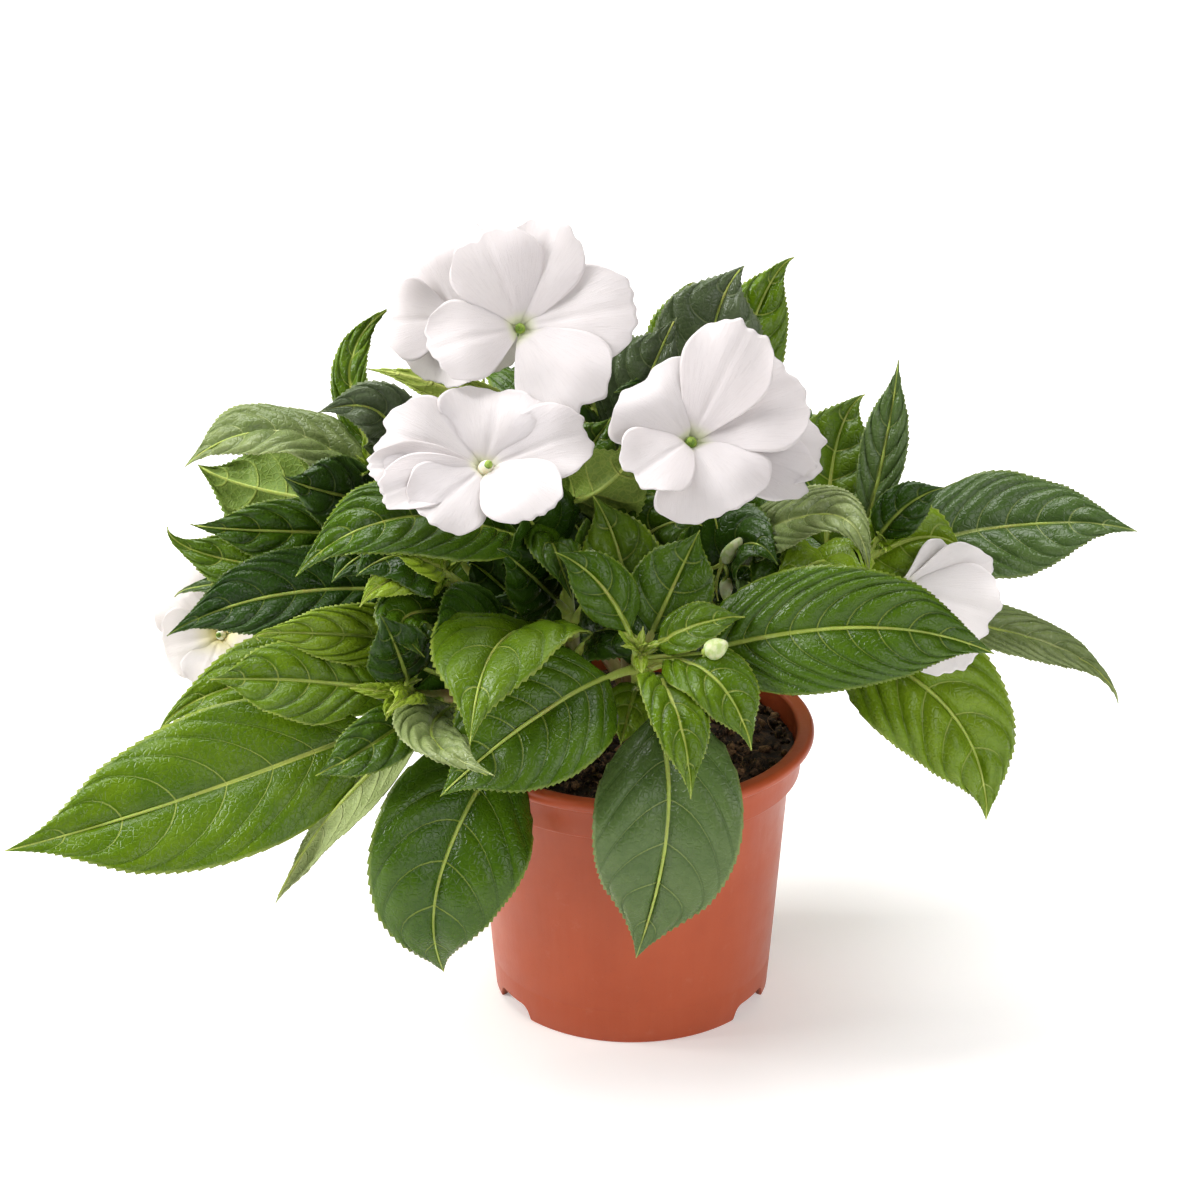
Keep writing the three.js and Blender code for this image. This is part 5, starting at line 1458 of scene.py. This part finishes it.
def peat(finish):
    """The plug of peat, closed all round, with a lumpy top."""
    inside = SHOULDER_RADIUS - WALL - SOIL_EDGE_GAP
    collar_inside = COLLAR_RADIUS - WALL - SOIL_EDGE_GAP
    foot_inside = FOOT_RADIUS - WALL - SOIL_EDGE_GAP
    floor = CHANNEL_HEIGHT + WALL + SOIL_EDGE_GAP
    collar_foot = POT_HEIGHT - COLLAR_HEIGHT
    rings = [(collar_inside * (i / SOIL_RINGS) ** 0.8, SOIL_TOP) for i in range(SOIL_RINGS, -1, -1)]
    profile = [
        (0, floor),
        (foot_inside - FLOOR_FILLET - 0.001, floor),
        (foot_inside, floor + FLOOR_FILLET + 0.001),
        (inside, collar_foot - WALL),
        (collar_inside, collar_foot + WALL + 0.001),
        *rings,
    ]
    bm = bmesh.new()
    spun(bm, profile, SOIL_STEPS)
    for vert in bm.verts:
        if vert.co.z > SOIL_TOP - 0.001:
            vert.co.z = peat_height(vert.co.x, vert.co.y)
    finish_piece("peat_bed", bm, [finish], ["soil"])


def peat_place(draw, reach=SOIL_REACH):
    """A random point on the peat."""
    radius = reach * math.sqrt(draw.random())
    turn = draw.uniform(0, 2 * math.pi)
    x, y = radius * math.cos(turn), radius * math.sin(turn)
    return np.array([x, y, peat_height(x, y)])


def crumbs(name, count, smallest, largest, finish, seed):
    """Lumps of peat, bark or perlite, strewn over the surface."""
    bm = bmesh.new()
    draw = random.Random(seed)
    for _ in range(count):
        size = smallest + (largest - smallest) * draw.random() ** 2.2
        axis = unit([draw.uniform(-1, 1), draw.uniform(-1, 1), draw.uniform(-0.5, 0.5)])
        place = peat_place(draw) + (0, 0, size * 0.25)
        verts = ball(bm, place, axis, size * draw.uniform(1.0, 2.2), size * 0.5, detail=1)
        for vert in verts:
            vert.co += Vector([draw.uniform(-1, 1) * size * CRUMB_JITTER for _ in range(3)])
    finish_piece(name, bm, [finish])


def fibres(name, count, finish, seed):
    """Curled peat fibres and rootlets that lie on the surface and stick out of it."""
    bm = bmesh.new()
    draw = random.Random(seed)
    for _ in range(count):
        start = peat_place(draw, FIBRE_REACH)
        turn = draw.uniform(0, 2 * math.pi)
        length = draw.uniform(*FIBRE_LENGTHS)
        away = np.array([math.cos(turn), math.sin(turn), 0]) * length
        bow = np.array([-away[1], away[0], 0]) * draw.uniform(-0.5, 0.5)
        rise = draw.uniform(*FIBRE_RISES)
        end = start + away
        end[2] = peat_height(end[0], end[1]) + draw.uniform(0, FIBRE_END_LIFT)
        if math.hypot(end[0], end[1]) > SOIL_REACH:
            continue
        curve = Curve(start, (start + end) / 2 + bow + (0, 0, rise), end)
        tube(bm, curve.at(np.linspace(0, 1, 7)), draw.uniform(*FIBRE_RADII), 4)
    finish_piece(name, bm, [finish])


# The scene


def light(name, place, target, size, power):
    """A soft square studio light that looks at a point."""
    lamp = bpy.data.lights.new(name, "AREA")
    lamp.shape = "RECTANGLE"
    lamp.size, lamp.size_y = size
    lamp.energy = power
    item = bpy.data.objects.new(name, lamp)
    bpy.context.scene.collection.objects.link(item)
    item.location = place
    item.rotation_euler = (Vector(target) - Vector(place)).to_track_quat("-Z", "Y").to_euler()


def studio():
    """The pale floor, the soft lights and the camera of the photograph."""
    bm = bmesh.new()
    bmesh.ops.create_grid(bm, x_segments=4, y_segments=4, size=FLOOR_HALF)
    mesh = bpy.data.meshes.new("floor")
    bm.to_mesh(mesh)
    bm.free()
    mesh.materials.append(floor_paint())
    floor = bpy.data.objects.new("floor", mesh)
    bpy.context.scene.collection.objects.link(floor)
    world = bpy.data.worlds.new("studio_air")
    world.use_nodes = True
    air = world.node_tree.nodes["Background"]
    air.inputs["Color"].default_value = rgb(*AIR_COLOUR)
    air.inputs["Strength"].default_value = AIR_STRENGTH
    bpy.context.scene.world = world
    for name, settings in LIGHTS.items():
        light(name, **settings)
    eye = bpy.data.cameras.new("camera")
    eye.sensor_width = CAMERA_SENSOR
    eye.lens = CAMERA_LENS
    eye.clip_end = 20
    camera = bpy.data.objects.new("camera", eye)
    bpy.context.scene.collection.objects.link(camera)
    camera.location = CAMERA_PLACE
    camera.rotation_euler = (math.radians(90 - CAMERA_PITCH), 0, 0)
    bpy.context.scene.camera = camera
    bpy.context.scene.view_settings.view_transform = "Standard"


studio()

pot(pot_plastic())
PEAT_DARK = (0.012, 0.008, 0.005)
moist_peat = peat_skin("moist_peat", PEAT_DARK, (0.080, 0.044, 0.022), 420.0)
peat_lump = peat_skin("peat_crumb", PEAT_DARK, (0.150, 0.085, 0.045), 700.0)
bark = peat_skin("bark_crumb", (0.09, 0.048, 0.022), (0.30, 0.17, 0.08), 900.0)
perlite = peat_skin("perlite_grain", (0.50, 0.46, 0.40), (0.75, 0.72, 0.66), 900.0)
rootlet = peat_skin("peat_fibre", (0.10, 0.055, 0.025), (0.30, 0.18, 0.08), 900.0)
peat(moist_peat)
crumbs("peat_crumbs", 700, 0.0009, 0.0042, peat_lump, seed=1)
crumbs("bark_crumbs", 150, 0.0012, 0.0040, bark, seed=2)
crumbs("perlite_grains", 14, 0.0008, 0.0018, perlite, seed=3)
fibres("peat_fibres", 160, rootlet, seed=4)

STALK_GREEN = stalk_skin("stalk_green", (0.34, 0.42, 0.075), (0.36, 0.32, 0.08), 0.0)
STEM_LOW = stalk_skin("stem_reddish", (0.20, 0.19, 0.06), (0.20, 0.075, 0.035), 0.12)
LEAF_FINISHES = {tone: (leaf_upper(tone), leaf_under(tone)) for tone in LEAF_TONES}
CURVES = {name: branch_curve(branch) for name, branch in BRANCHES.items()}
for name, branch_names in STEMS.items():
    stem(name, branch_names, [STEM_LOW, STALK_GREEN])
for name, leaf in LEAVES.items():
    leaf_piece(name, leaf, [f"leaf_{name}"])
for name, leaf in SMALL_LEAVES.items():
    leaf_piece(name, leaf)
for name, settings in CROWNS.items():
    crown(name, *settings)

PETAL_SKINS = {name: petal_skin(f"petal_{name}", *colours) for name, colours in PETAL_COLOURS.items()}
HOOD_CREAM = flower_heart_skin("hood_cream", (0.78, 0.74, 0.52), (0.88, 0.86, 0.72))
OVARY_GREEN = flower_heart_skin("ovary_green", (0.12, 0.22, 0.02), (0.30, 0.42, 0.06))
BUD_PALE = flower_heart_skin("bud_pale", (0.46, 0.56, 0.20), (0.66, 0.70, 0.42))
for name, flower in FLOWERS.items():
    corolla(name, flower, PETAL_SKINS[flower.get("skin", "white")])
    flower_heart(name, flower, [OVARY_GREEN if flower.get("green") else HOOD_CREAM, OVARY_GREEN])
    flower_back(name, flower, [STALK_GREEN])
buds([BUD_PALE, STALK_GREEN])
